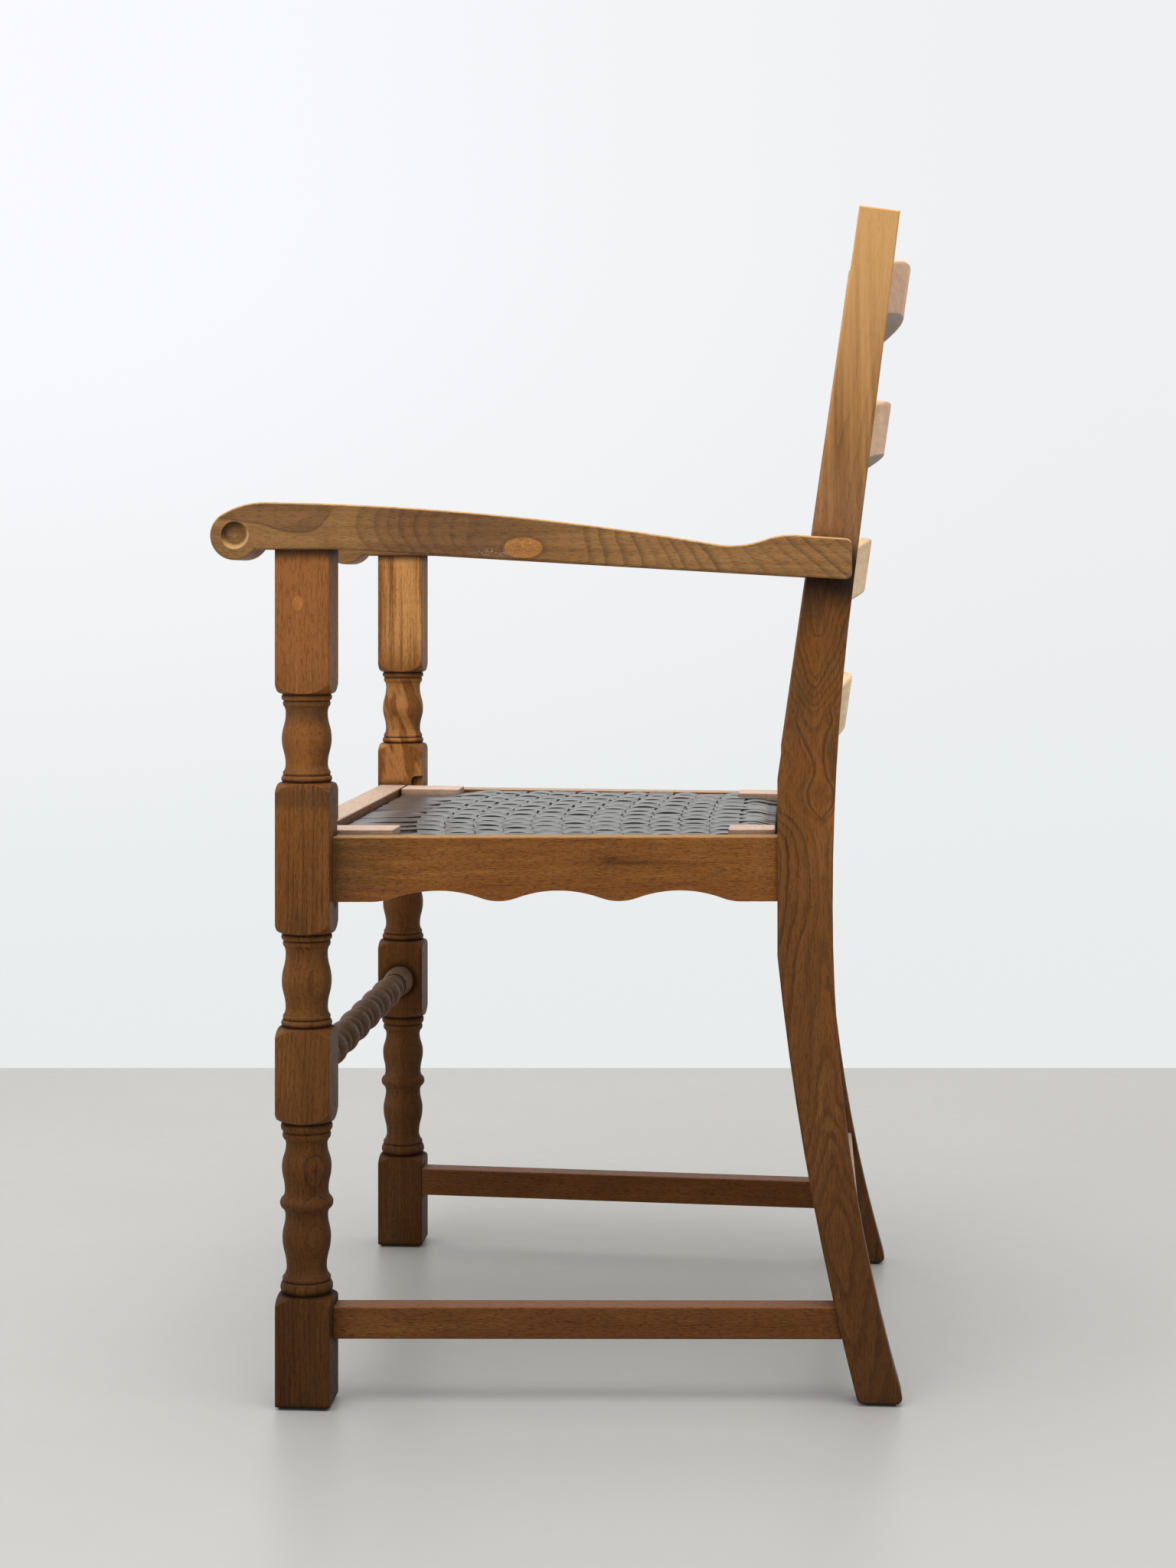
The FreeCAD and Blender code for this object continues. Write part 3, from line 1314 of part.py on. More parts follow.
bar = of("seat_bar_width")
for name, side in (("left", LEFT), ("right", RIGHT)):
    pieces.append(build_seat_side(f"seat_bar_{name}", side))
    pieces.append(build_seat_corner(f"seat_corner_front_{name}", side, seat_front_y,
                                    seat_front_y + of("front_corner_length")))
    pieces.append(build_seat_corner(f"seat_corner_back_{name}", side,
                                    seat_back_y - of("back_corner_length"), seat_back_y))
pieces.append(build_seat_cross("seat_bar_front", seat_front_y, seat_front_y + bar))
pieces.append(build_seat_cross("seat_bar_back", seat_back_y - bar, seat_back_y))
pieces.append(build_straps("lengthwise_straps", lengthwise_loops()))
pieces.append(build_straps("crosswise_straps", crosswise_loops()))

front_inner_y = front_rail_y() + of("front_rail_thickness") / 2
back_inner_y = post_y + of("back_rail_setback")
for name, side in (("left", LEFT), ("right", RIGHT)):
    pieces.append(build_brace(f"corner_brace_front_{name}", side, front_inner_y, leg_inner_x, 1))
    pieces.append(build_brace(f"corner_brace_back_{name}", side, back_inner_y, post_inner_x, -1))
    pad_half = half_square - of("foot_pad_inset")
    pieces.append(build_foot_pad(f"foot_pad_front_{name}", leg_x * side, leg_y, pad_half, pad_half))
    foot_middle = post_y + of("foot_kick") + of("post_foot_depth") / 2
    pieces.append(build_foot_pad(f"foot_pad_back_{name}", post_x * side, foot_middle,
                                 of("post_thickness") / 2 - of("foot_pad_inset"),
                                 of("post_foot_depth") / 2 - of("post_foot_round")
                                 - of("foot_pad_inset") / 2))

doc.recompute()

for item in doc.Objects:
    if "Invalid" in item.State or "Error" in item.State:
        raise RuntimeError(f"{item.Label} did not build: {item.State}")
    if item.TypeId in ("PartDesign::Pocket", "PartDesign::Groove"):
        if item.Shape.Volume >= item.BaseFeature.Shape.Volume:
            raise RuntimeError(f"{item.Label} cuts nothing")

os.makedirs("parts", exist_ok=True)
for item in pieces:
    if item.Shape.isNull() or not item.Shape.isValid():
        raise RuntimeError(f"{item.Label} has no valid shape")
for item in pieces:
    item.Shape.exportStep(f"parts/{item.Label}.step")
    box = item.Shape.BoundBox
    print(f"{item.Label}: {len(item.Shape.Solids)} solid, {item.Shape.Volume / 1000:.1f} cm3, "
          f"x {box.XMin:.1f}..{box.XMax:.1f} y {box.YMin:.1f}..{box.YMax:.1f} "
          f"z {box.ZMin:.1f}..{box.ZMax:.1f}")
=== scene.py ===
"""Dresses a ladder-back armchair: stained open-pored wood, a seat of woven straps, dark pads under
the feet, and the floor, light and camera it is shown with."""

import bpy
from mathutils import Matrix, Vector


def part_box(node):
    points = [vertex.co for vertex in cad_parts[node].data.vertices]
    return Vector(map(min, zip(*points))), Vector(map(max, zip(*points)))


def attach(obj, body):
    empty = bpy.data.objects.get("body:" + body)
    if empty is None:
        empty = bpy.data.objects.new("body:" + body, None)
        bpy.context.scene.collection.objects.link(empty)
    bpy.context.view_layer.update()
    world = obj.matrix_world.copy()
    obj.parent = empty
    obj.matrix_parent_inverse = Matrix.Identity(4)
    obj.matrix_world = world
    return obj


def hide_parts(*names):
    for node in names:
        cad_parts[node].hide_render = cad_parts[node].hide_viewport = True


bl_info = {
    "name": "Ladder-back Armchair",
    "version": (1, 0, 0),
    "blender": (4, 5, 0),
    "location": "3D View > Sidebar > Armchair",
    "description": "Finishes a turned and sawn armchair and weaves its strap seat",
    "category": "Add Mesh",
}

import math
import random

import bmesh
import bpy
from bpy.props import FloatProperty, FloatVectorProperty, PointerProperty
from mathutils import Matrix, Vector

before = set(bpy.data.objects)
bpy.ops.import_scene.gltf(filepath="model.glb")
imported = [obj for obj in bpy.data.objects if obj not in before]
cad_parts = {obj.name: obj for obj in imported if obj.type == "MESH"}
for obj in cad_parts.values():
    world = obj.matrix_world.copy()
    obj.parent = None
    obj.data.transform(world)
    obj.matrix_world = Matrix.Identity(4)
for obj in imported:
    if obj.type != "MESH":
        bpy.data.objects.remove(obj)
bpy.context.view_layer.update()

SEAT_BODY = "seat"
SIDES = ("left", "right")
ENDS = ("front", "back")

# The photograph's frame, in pixels
PHOTO_HEIGHT = 2048
PHOTO_HORIZON = 759
PHOTO_FOCAL = 3550


# Sizes taken from the frame

def low(node):
    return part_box(node)[0]


def high(node):
    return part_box(node)[1]


def middle(node):
    return (low(node) + high(node)) / 2


SEAT_FRONT = low("seat_bar_front").y
SEAT_BACK = high("seat_bar_back").y
SEAT_TOP = high("seat_bar_front").z
BAR_WIDTH = high("seat_bar_back").y - low("seat_bar_back").y
SEAT_HALF_FRONT = high("seat_bar_left").x
SEAT_HALF_BACK = low("seat_bar_left").x + BAR_WIDTH

# How many straps there are each way, how many at each side end at the corner blocks, where the
# first and the last seam meet the side bars, how far in from the seat's edge the outermost
# strap's middle lies, and how far the crosswise straps bow forward in their middle
CROSSWISE_COUNT = 11
LENGTHWISE_COUNT = 21
TUCKED_COUNT = 2
WEAVE_FRONT = -0.1226
WEAVE_BACK = 0.1340
STRAP_INSET = 0.0115
BOW_FRONT = 0.022
BOW_BACK = 0.003


def seat_half(y):
    """Half the seat frame's width at a place between its front and its back."""
    share = (y - SEAT_FRONT) / (SEAT_BACK - SEAT_FRONT)
    return SEAT_HALF_FRONT + (SEAT_HALF_BACK - SEAT_HALF_FRONT) * share


# Settings

def colour_setting(name, description, default):
    return FloatVectorProperty(name=name, description=description, default=default,
                               subtype="COLOR")


def length_setting(name, description, default):
    return FloatProperty(name=name, description=description, default=default, unit="LENGTH")


def power_setting(name, description, default):
    return FloatProperty(name=name, description=description, default=default, unit="POWER")


def share_setting(name, description, default):
    return FloatProperty(name=name, description=description, default=default, min=0, max=1)


class WoodSettings(bpy.types.PropertyGroup):
    pale: colour_setting("Pale wood", "The lightest of the stained wood", (0.350, 0.155, 0.042))
    stain: colour_setting("Stain", "The stain's middle brown", (0.228, 0.086, 0.0190))
    dark: colour_setting("Dark lines", "Late wood and filled grain", (0.088, 0.030, 0.0085))
    pore: colour_setting("Pores", "Stain that has settled in the pores", (0.030, 0.012, 0.005))
    worn: colour_setting("Worn edges", "Wood bared along the arrises", (0.47, 0.245, 0.095))
    ring_width: length_setting("Ring width", "Distance between growth rings", 0.0032)
    pore_depth: length_setting("Grain relief", "Depth of the open grain", 0.00025)
    roughness: share_setting("Roughness", "Of the thin lacquer", 0.50)


class StrapSettings(bpy.types.PropertyGroup):
    width: length_setting("Width", "Width of one strap", 0.0229)
    thickness: length_setting("Thickness", "Thickness of one strap", 0.0012)
    arch: length_setting("Arch", "How far a strap rises over the one it crosses", 0.0019)
    dip: length_setting("Dip", "How far a strap sinks under the one it crosses", 0.0014)
    drop: length_setting("Turned end", "How far a strap's end goes down the bar", 0.010)
    colour: colour_setting("Colour", "The strap's dark grey", (0.112, 0.116, 0.105))
    roughness: share_setting("Roughness", "Of the strap's face", 0.38)


class StageSettings(bpy.types.PropertyGroup):
    floor: colour_setting("Floor", "Pale grey floor", (0.475, 0.472, 0.448))
    sky_high: colour_setting("Backdrop above", "Backdrop above, on the left",
                             (0.955, 0.957, 0.99))
    sky_side: colour_setting("Backdrop beside", "Backdrop above, on the right",
                             (0.865, 0.872, 0.888))
    sky_low: colour_setting("Backdrop below", "Backdrop at the floor line",
                            (0.815, 0.838, 0.838))
    ambient: FloatProperty(name="Ambient", description="Strength of the even light from the sides",
                           default=0.34)
    zenith: FloatProperty(name="Light from above", description="Strength of the even light above",
                          default=1.15)
    overhead: power_setting("Overhead", "Power of the large lamp above", 24.0)
    fill: power_setting("Fill", "Power of the lamp beside the camera", 7.0)
    camera_x: length_setting("Camera across", "From the middle plane", 2.396)
    camera_y: length_setting("Camera along", "Behind the chair's middle", 0.1816)
    camera_z: length_setting("Camera height", "Above the floor", 0.652)
    camera_turn: FloatProperty(name="Camera turn", description="Away from square to the side",
                               default=math.radians(4.426), subtype="ANGLE")
    floor_reach: length_setting("Floor reach", "From the camera to the floor's far edge", 3.64)


# Shader expressions

class Value:
    """One number, colour or vector of a material. Numbers are worked with as numbers."""

    def __init__(self, graph, socket):
        self.graph = graph
        self.socket = socket

    def __add__(self, other):
        return self.graph.maths("ADD", self, other)

    def __sub__(self, other):
        return self.graph.maths("SUBTRACT", self, other)

    def __rsub__(self, other):
        return self.graph.maths("SUBTRACT", other, self)

    def __mul__(self, other):
        return self.graph.maths("MULTIPLY", self, other)

    def __truediv__(self, other):
        return self.graph.maths("DIVIDE", self, other)

    def __abs__(self):
        return self.graph.maths("ABSOLUTE", self)

    __radd__ = __add__
    __rmul__ = __mul__


class Graph:
    """The nodes of one material, or of the world."""

    def __init__(self, owner):
        owner.use_nodes = True
        self.owner = owner
        self.tree = owner.node_tree
        self.tree.nodes.clear()

    def feed(self, socket, item):
        """Links a value to a socket, or sets a plain number, vector or colour on it."""
        if isinstance(item, Value):
            self.tree.links.new(item.socket, socket)
        elif socket.type == "RGBA":
            socket.default_value = (*item, 1.0)
        else:
            socket.default_value = item

    def add(self, kind, *values, out=0, settings=None, **inputs):
        """A node with its settings, and the values or links of its sockets, in order or by name.
        It gives one output, by its number or name, or all of them where out is None."""
        node = self.tree.nodes.new(kind)
        for key, item in (settings or {}).items():
            if key == "points":
                curve = node.mapping.curves[0].points
                curve[0].location, curve[1].location = item[0], item[-1]
                for x, y in item[1:-1]:
                    curve.new(x, y)
                node.mapping.update()
            else:
                setattr(node, key, item)
        sockets = [socket for socket in node.inputs if socket.enabled]
        for socket, item in zip(sockets, values):
            self.feed(socket, item)
        for key, item in inputs.items():
            wanted = key.replace("_", " ")
            self.feed(next(socket for socket in sockets if socket.name == wanted), item)
        outputs = [Value(self, socket) for socket in node.outputs if socket.enabled]
        if out is None:
            return outputs
        if isinstance(out, int):
            return outputs[out]
        return next(value for value in outputs if value.socket.name == out)

    def maths(self, operation, *values):
        return self.add("ShaderNodeMath", *values, settings={"operation": operation})

    def vector_maths(self, operation, *values):
        return self.add("ShaderNodeVectorMath", *values, settings={"operation": operation})

    def most(self, first, *others):
        """The largest of some values."""
        for other in others:
            first = self.maths("MAXIMUM", first, other)
        return first

    def split(self, vector):
        return self.add("ShaderNodeSeparateXYZ", vector, out=None)

    def join(self, x, y, z):
        return self.add("ShaderNodeCombineXYZ", x, y, z)

    def place(self):
        return self.add("ShaderNodeTexCoord", out="Object")

    def facing(self):
        """The three parts of the direction that the surface faces."""
        return self.split(self.add("ShaderNodeNewGeometry", out="Normal"))

    def cloud(self, vector, scale=1.0, detail=2.0, rough=0.5, out="Fac"):
        """Soft noise from 0 to 1."""
        return self.add("ShaderNodeTexNoise", out=out, settings={"noise_dimensions": "3D"},
                        Vector=vector, Scale=scale, Detail=detail, Roughness=rough)

    def ease(self, value, start, end, first=0.0, last=1.0):
        """A smooth step from one number to another, between two values."""
        return self.add("ShaderNodeMapRange", settings={"interpolation_type": "SMOOTHSTEP"},
                        Value=value, From_Min=start, From_Max=end, To_Min=first, To_Max=last)

    def between(self, value, start, full, fading, end):
        """1 between two values, with a smooth step at each side."""
        return self.ease(value, start, full) * self.ease(value, fading, end, 1.0, 0.0)

    def profile(self, value, points):
        """A smooth curve drawn through points, each a number and what it becomes."""
        first, last = points[0][0], points[-1][0]
        outs = [out for _, out in points]
        least, most = min(outs), max(outs)
        shares = [((x - first) / (last - first), (y - least) / (most - least)) for x, y in points]
        share = self.add("ShaderNodeFloatCurve", settings={"points": shares},
                         Value=(value - first) / (last - first))
        return share * (most - least) + least

    def spot(self, a, b, place_a, place_b, reach_a, reach_b, strength=1.0):
        """A soft round spot, strongest in its middle."""
        da, db = (a - place_a) / reach_a, (b - place_b) / reach_b
        return self.maths("EXPONENT", (da * da + db * db) * -1.0) * strength

    def spots(self, a, b, marks):
        """Several soft round spots."""
        return self.most(*(self.spot(a, b, *mark) for mark in marks))

    def blend(self, factor, first, second, mode="MIX"):
        return self.add("ShaderNodeMix", factor, first, second,
                        settings={"data_type": "RGBA", "blend_type": mode, "clamp_factor": True})

    def shade(self, factor, colour):
        """A colour made darker or lighter by a number."""
        return self.blend(1.0, colour, self.join(factor, factor, factor), "MULTIPLY")

    def finish(self, kind, shader):
        self.add(kind, out=None, Surface=shader)
        return self.owner


def surface(g, colour, roughness, height, depth, coat=0.0, coat_roughness=0.3, specular=0.5,
            sheen=0.0):
    """The shader that every finish ends in."""
    bump = g.add("ShaderNodeBump", Height=height, Distance=depth, Strength=1.0)
    shader = g.add("ShaderNodeBsdfPrincipled", Base_Color=colour, Roughness=roughness,
                   Normal=bump, Coat_Weight=coat, Coat_Roughness=coat_roughness,
                   Specular_IOR_Level=specular, Sheen_Weight=sheen)
    return g.finish("ShaderNodeOutputMaterial", shader)


# Wood

AXES = {"X": (1, 2, 0), "Y": (2, 0, 1), "Z": (0, 1, 2)}

# Noises that are drawn out along the grain: how many to the metre across the grain and along
# it, how many finer noises are added and how strong these are
RIPPLE = (60.0, 9.0, 2.0, 0.5)
WANDER = (5.0, 1.6, 2.0, 0.45)
STREAK = (170.0, 5.0, 3.0, 0.6)
FIBRE = (1500.0, 45.0, 2.0, 0.6)
VESSEL = (1900.0, 150.0, 1.0, 0.5)
PATCH = (14.0, 6.0, 2.0, 0.5)
TIDE = (45.0, 11.0, 2.0, 0.5)

WANDER_REACH = 0.040
# The colour of painted shade on faces that look down
UNDERSIDE_SHADE = (0.105, 0.100, 0.082)

# The height of the arms' underside over the front legs and beside the back posts, and the
# colour of the deep shade there
UNDER_ARM_FRONT = 0.677
UNDER_ARM_BACK = 0.6550
SHADE = (0.016, 0.008, 0.004)


def wood(name, settings, along, centre, pith, seed, tint=(1.0, 1.0, 1.0), light=1.0, wear=0.5,
         rub_width=0.0016, figure=1.0, ring_share=1.0, rings=0.30, streaks=0.55, blotch=1.0,
         pores=0.42, pore_fade=None, floor_dark=0.42, grey=0.0, grey_colour=(0.30, 0.205, 0.150),
         field=None, tones=None, shelter_reach=0.012, shelter_band=(0.20, 0.85), top=0.0,
         top_colour=(0.50, 0.28, 0.11), bottom=0.0, specular=0.16):
    """Stained wood cut from one board. The grain runs along an axis of the chair. The pith is
    where the middle of the tree lay, across the grain, from the middle of the piece. A field
    draws the growth rings of a special board, and tones add its own colours."""
    g = Graph(bpy.data.materials.new(name))
    place = g.place()
    x, y, z = g.split(place)
    spread = g.split(g.vector_maths("SUBTRACT", place, centre))
    a, b, c = (spread[index] for index in AXES[along])
    shift = Vector((seed * 1.37 % 7.0, seed * 2.11 % 5.0, seed * 0.73 % 3.0))

    def grain(across, lengthwise, detail, rough, out="Fac"):
        stretched = g.join(a * across, b * across, c * lengthwise)
        return g.cloud(g.vector_maths("ADD", stretched, shift), 1.0, detail, rough, out)

    ripple = grain(*RIPPLE) - 0.5
    if field is None:
        # The tree's axis wanders, so that flat cuts show arches
        wander = g.split(grain(*WANDER, out="Color"))
        from_a = a + (wander[0] - 0.5) * (WANDER_REACH * figure) - pith[0]
        from_b = b + (wander[1] - 0.5) * (WANDER_REACH * figure) - pith[1]
        radius = g.maths("SQRT", from_a * from_a + from_b * from_b)
        radius = radius / (settings.ring_width * ring_share) + ripple * 0.9
    else:
        radius = field(g, x, y, z) + ripple * 0.55
    phase = g.maths("FRACT", radius)
    line = g.between(phase, 0.0, 0.07, 0.07, 0.62)
    years = g.add("ShaderNodeTexWhiteNoise", out="Value", settings={"noise_dimensions": "1D"},
                  W=g.maths("FLOOR", radius) + seed)
    line = line * (years * 0.7 + 0.3)

    # Streaks, fibres and open pores run with the grain
    streak, fibre, patch, tide = grain(*STREAK), grain(*FIBRE), grain(*PATCH), grain(*TIDE)
    pore = g.ease(grain(*VESSEL), 0.58, 0.66)
    if pore_fade is not None:
        pore = pore * g.ease(z, *pore_fade, 1.0, 0.30)
    tone = ((streak - 0.5) * streaks + (fibre - 0.5) * 0.5 + (patch - 0.5) * (0.6 * blotch)
            + (tide - 0.5) * (0.45 * blotch) - line * rings + (0.5 + rings * 0.22))
    colour = g.blend(g.ease(tone, 0.5, 0.92), settings.stain, settings.pale)
    colour = g.blend(g.ease(tone, 0.5, 0.05), colour, settings.dark)
    if tones is not None:
        colour = tones(g, x, y, z, colour, line, streak)
    colour = g.blend(pore * pores, colour, settings.pore)
    # Greyed patches, partly the wood's own colour and on the slats partly painted sheen
    if grey:
        weathering_and_sheen = g.ease(patch + (streak - 0.5) * 0.6, 0.25, 0.75, 0.55, 1.0)
        colour = g.blend(weathering_and_sheen * grey, colour, grey_colour)

    # Edges are rubbed pale, and the quirks and joints are darkened by occlusion, partly grime and
    # partly painted shade
    bevel = g.add("ShaderNodeBevel", settings={"samples": 6}, Radius=rub_width)
    normal = g.add("ShaderNodeNewGeometry", out="Normal")
    straight = g.vector_maths("DOT_PRODUCT", bevel, normal)
    rub = g.ease(straight, 0.80, 0.985, 1.0, 0.0) * g.ease(patch + (fibre - 0.5), 0.25, 0.75)
    colour = g.blend(rub * wear, colour, settings.worn)
    shelter = g.add("ShaderNodeAmbientOcclusion", out="AO", settings={"samples": 6},
                    Distance=shelter_reach)
    grime_and_shade = g.ease(shelter, *shelter_band, 1.0, 0.0)
    colour = g.blend(grime_and_shade * 0.75, colour, settings.pore)

    # The upper faces of some pieces are paler, partly dust and partly painted sheen, and the lower
    # faces of some are painted darker, as painted shade
    up = g.split(normal)[2]
    if bottom:
        colour = g.blend(g.ease(up, -0.20, -0.55) * bottom, colour, UNDERSIDE_SHADE)
    if top:
        dust_and_sheen = g.ease(up, 0.15, 0.85) * g.ease(fibre, 0.3, 0.7, 0.7, 1.0)
        colour = g.blend(dust_and_sheen * top, colour, top_colour)

    # The colour is darker towards the floor
    colour = g.shade(g.ease(z, -0.12, 0.78, floor_dark, 1.0) * light, colour)
    colour = g.blend(1.0, colour, tint, "MULTIPLY")
    roughness = (patch - 0.5) * 0.16 + pore * 0.22 + rub * 0.10 + grime_and_shade * 0.2 + settings.roughness
    relief = fibre * 0.25 - pore * 0.8 - line * 0.25
    return surface(g, colour, roughness, relief, settings.pore_depth, specular=specular)


def clothe(node, material):
    """Gives one piece of the frame its finish."""
    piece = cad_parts[node]
    for slot in piece.material_slots:
        slot.material = material
    if not piece.material_slots:
        piece.data.materials.append(material)


def finish_wood(settings, node, name, along, pith, seed, **look):
    """Finishes one piece of the frame as wood."""
    clothe(node, wood(name, settings, along, middle(node), pith, seed, **look))


# Front legs. A mark is the place of its middle along the chair and its height, and how far it
# reaches each way.
LEG_KNOT = (-0.2104, 0.6348, 0.0045, 0.0065)
# The painted highlight on the near leg's vase
LEG_HIGHLIGHT = (-0.2070, 0.5170, 0.010, 0.017)
LEG_TOP_BLOCK = (0.555, 0.60)


def shade_leg_back(g, colour):
    """The faces of a front leg that look to the back are painted duller and darker, as painted
    shade.
    """
    return g.blend(g.ease(g.facing()[1], 0.70, 0.95) * 0.5, colour, (0.075, 0.048, 0.020))


def left_leg_tones(g, x, y, z, colour, line, streak):
    """Reddish at the top, with one small amber knot, a painted highlight on the vase with painted
    shade towards its ends, and painted shadow under the arm.
    """
    colour = g.blend(g.ease(z, *LEG_TOP_BLOCK) * 0.45, colour, (0.380, 0.135, 0.038))
    knot = g.ease(g.spot(y, z, *LEG_KNOT), 0.35, 0.6)
    colour = g.blend(knot * 0.7, colour, (0.460, 0.180, 0.038))
    # A painted highlight on the vase
    painted_highlight = g.spot(y, z, *LEG_HIGHLIGHT) * g.ease(streak, 0.3, 0.6, 0.5, 1.0)
    colour = g.blend(painted_highlight * 0.6, colour, (0.420, 0.155, 0.036))
    # Painted shade towards the vase's ends
    painted_vase_shade = g.ease(abs(z - 0.5150), 0.020, 0.032) * g.between(z, 0.470, 0.478, 0.553, 0.560)
    colour = g.blend(painted_vase_shade * 0.45, colour, (0.085, 0.040, 0.018))
    # Painted shadow under the arm
    painted_arm_shadow = g.ease(z, UNDER_ARM_FRONT - 0.012, UNDER_ARM_FRONT - 0.001)
    return shade_leg_back(g, g.blend(painted_arm_shadow * 0.92, colour, SHADE))


def right_leg_tones(g, x, y, z, colour, line, streak):
    """Golden and streaked at the top."""
    golden = g.ease(z, *LEG_TOP_BLOCK) * g.ease(streak, 0.35, 0.60)
    colour = g.blend(golden * 0.85, colour, (0.600, 0.285, 0.082))
    swirl = g.cloud(g.join(x * 30.0, y * 60.0, z * 28.0 + y * 40.0))
    amber = g.ease(swirl, 0.48, 0.58) * g.between(z, 0.425, 0.44, 0.55, 0.56)
    colour = g.blend(amber * 0.75, colour, (0.500, 0.220, 0.058))
    # Painted shadow under the arm
    painted_arm_shadow = g.ease(z, UNDER_ARM_FRONT - 0.008, UNDER_ARM_FRONT)
    return shade_leg_back(g, g.blend(painted_arm_shadow * 0.75, colour, SHADE))


class ARMCHAIR_OT_front_legs(bpy.types.Operator):
    """Finishes the two turned front legs and the turned stretcher between them"""

    bl_idname = "armchair.front_legs"
    bl_label = "Front legs and stretcher"

    def execute(self, context):
        settings = context.scene.armchair_wood
        for number, (side, tones) in enumerate(zip(SIDES, (left_leg_tones, right_leg_tones))):
            finish_wood(settings, f"front_leg_{side}", f"Turned leg {side}", "Z",
                        (0.070, 0.055), 3 + number * 4, tint=(1.14, 1.16, 1.34), light=1.08,
                        floor_dark=0.21, ring_share=0.8, rings=0.20, streaks=0.6, tones=tones,
                        specular=0.08, pores=0.28, shelter_reach=0.007,
                        shelter_band=(0.66, 0.97))
        finish_wood(settings, "front_stretcher", "Turned stretcher", "X", (0.050, 0.030), 5,
                    tint=(0.96, 0.98, 0.98), light=0.66, floor_dark=0.75, ring_share=0.8,
                    rings=0.2, top=0.42, top_colour=(0.46, 0.36, 0.27), specular=0.10,
                    shelter_reach=0.009, shelter_band=(0.50, 0.96))
        return {"FINISHED"}


# Back posts. At a height, where the figure of a post's board is centred, how many rings it has
# there from a chosen one, and how many rings to the metre follow beside it.
POST_FIGURE_LINE = ((0.0, 0.235), (0.136, 0.2137), (0.286, 0.2032), (0.40, 0.2000),
                    (0.463, 0.1996), (0.503, 0.1983), (0.537, 0.1937), (0.602, 0.1971),
                    (0.70, 0.206), (0.95, 0.235))
POST_RINGS_UP = ((0.0, -3.0), (0.10, -5.0), (0.135, -5.6), (0.156, -5.0), (0.186, -4.0),
                 (0.211, -3.0), (0.231, -2.0), (0.275, -1.0), (0.346, 0.0), (0.40, 0.9),
                 (0.44, 0.8), (0.463, 0.0), (0.482, -0.88), (0.503, -0.38), (0.525, -0.6),
                 (0.537, -1.0), (0.56, -3.8), (0.59, -7.0), (0.62, -8.6), (0.68, -10.0),
                 (0.80, -11.5), (0.95, -13.0))
POST_RINGS_ACROSS = ((0.0, 100), (0.11, 70), (0.156, 90), (0.20, 136), (0.286, 105), (0.36, 110),
                     (0.42, 140), (0.463, 100), (0.482, 80), (0.503, 80), (0.53, 68),
                     (0.549, 160), (0.58, 210), (0.62, 200), (0.70, 140), (0.95, 200))

# Marks beside the figure's middle line, and an eye, with its strength in rings
POST_REDS = ((0.0, 0.498, 0.010, 0.045), (-0.003, 0.603, 0.009, 0.030),
             (0.003, 0.30, 0.006, 0.035), (0.0, 0.133, 0.007, 0.018))
POST_SMOKES = ((0.014, 0.505, 0.006, 0.030), (-0.010, 0.56, 0.010, 0.020),
               (-0.012, 0.635, 0.012, 0.018, 1.2))
POST_EYE = (0.1971, 0.6016, 0.0035, 0.006, 1.6)
SOFT_FOLD = 0.002
WAIST = 0.50


def post_rings(g, x, y, z):
    """Flames near the floor, an hourglass beside the seat and a nest of points under the arm."""
    aside = y - g.profile(z, POST_FIGURE_LINE)
    aside = g.maths("SQRT", aside * aside + SOFT_FOLD ** 2) - SOFT_FOLD
    rings = g.profile(z, POST_RINGS_UP) + aside * g.profile(z, POST_RINGS_ACROSS)
    rings = rings + g.spot(y, z, *POST_EYE)
    sway = g.cloud(g.join(x * 20.0, y * 60.0, z * 26.0)) - 0.5
    free = g.ease(abs(z - WAIST), 0.03, 0.09, 0.25, 1.3)
    return rings + sway * free + (high("back_post_left").x - abs(x)) * 420.0


def post_tones(g, x, y, z, colour, line, streak):
    """The hourglass and the swirl are redder, smoky beside them, and the top is bleached."""
    aside = y - g.profile(z, POST_FIGURE_LINE)
    colour = g.blend(g.spots(aside, z, POST_REDS) * 0.55, colour, (0.30, 0.100, 0.022))
    outline = abs(g.profile(z, POST_RINGS_UP) + 0.06
                  + abs(aside) * g.profile(z, POST_RINGS_ACROSS))
    near = g.ease(abs(z - WAIST), 0.045, 0.060, 1.0, 0.0)
    colour = g.blend(line * 0.42, colour, (0.060, 0.031, 0.012))
    colour = g.blend(g.ease(outline, 0.02, 0.16, 1.0, 0.0) * near * 0.6, colour,
                     (0.055, 0.026, 0.010))
    colour = g.blend(g.spots(aside, z, POST_SMOKES) * 0.5, colour, (0.085, 0.048, 0.018))
    colour = g.blend(g.ease(z, 0.45, 0.15) * 0.32, colour, (0.165, 0.052, 0.010))
    muted = g.between(z, 0.655, 0.68, 0.70, 0.78)
    colour = g.blend(muted * 0.55, colour, (0.290, 0.160, 0.080))
    bleached = g.ease(z + (streak - 0.5) * 0.20, 0.68, 0.96)
    colour = g.blend(bleached * 0.93, colour, (0.66, 0.365, 0.140))
    # Painted shadow under the arm, strongest on the outer faces
    painted_arm_shadow = (g.ease(z + aside * 0.25, UNDER_ARM_BACK - 0.028, UNDER_ARM_BACK - 0.002)
                 * g.ease(z, UNDER_ARM_BACK + 0.008, UNDER_ARM_BACK + 0.03, 1.0, 0.0)
                 * g.ease(abs(g.facing()[0]), 0.4, 0.7, 0.35, 1.0))
    return g.blend(painted_arm_shadow * 0.92, colour, SHADE)


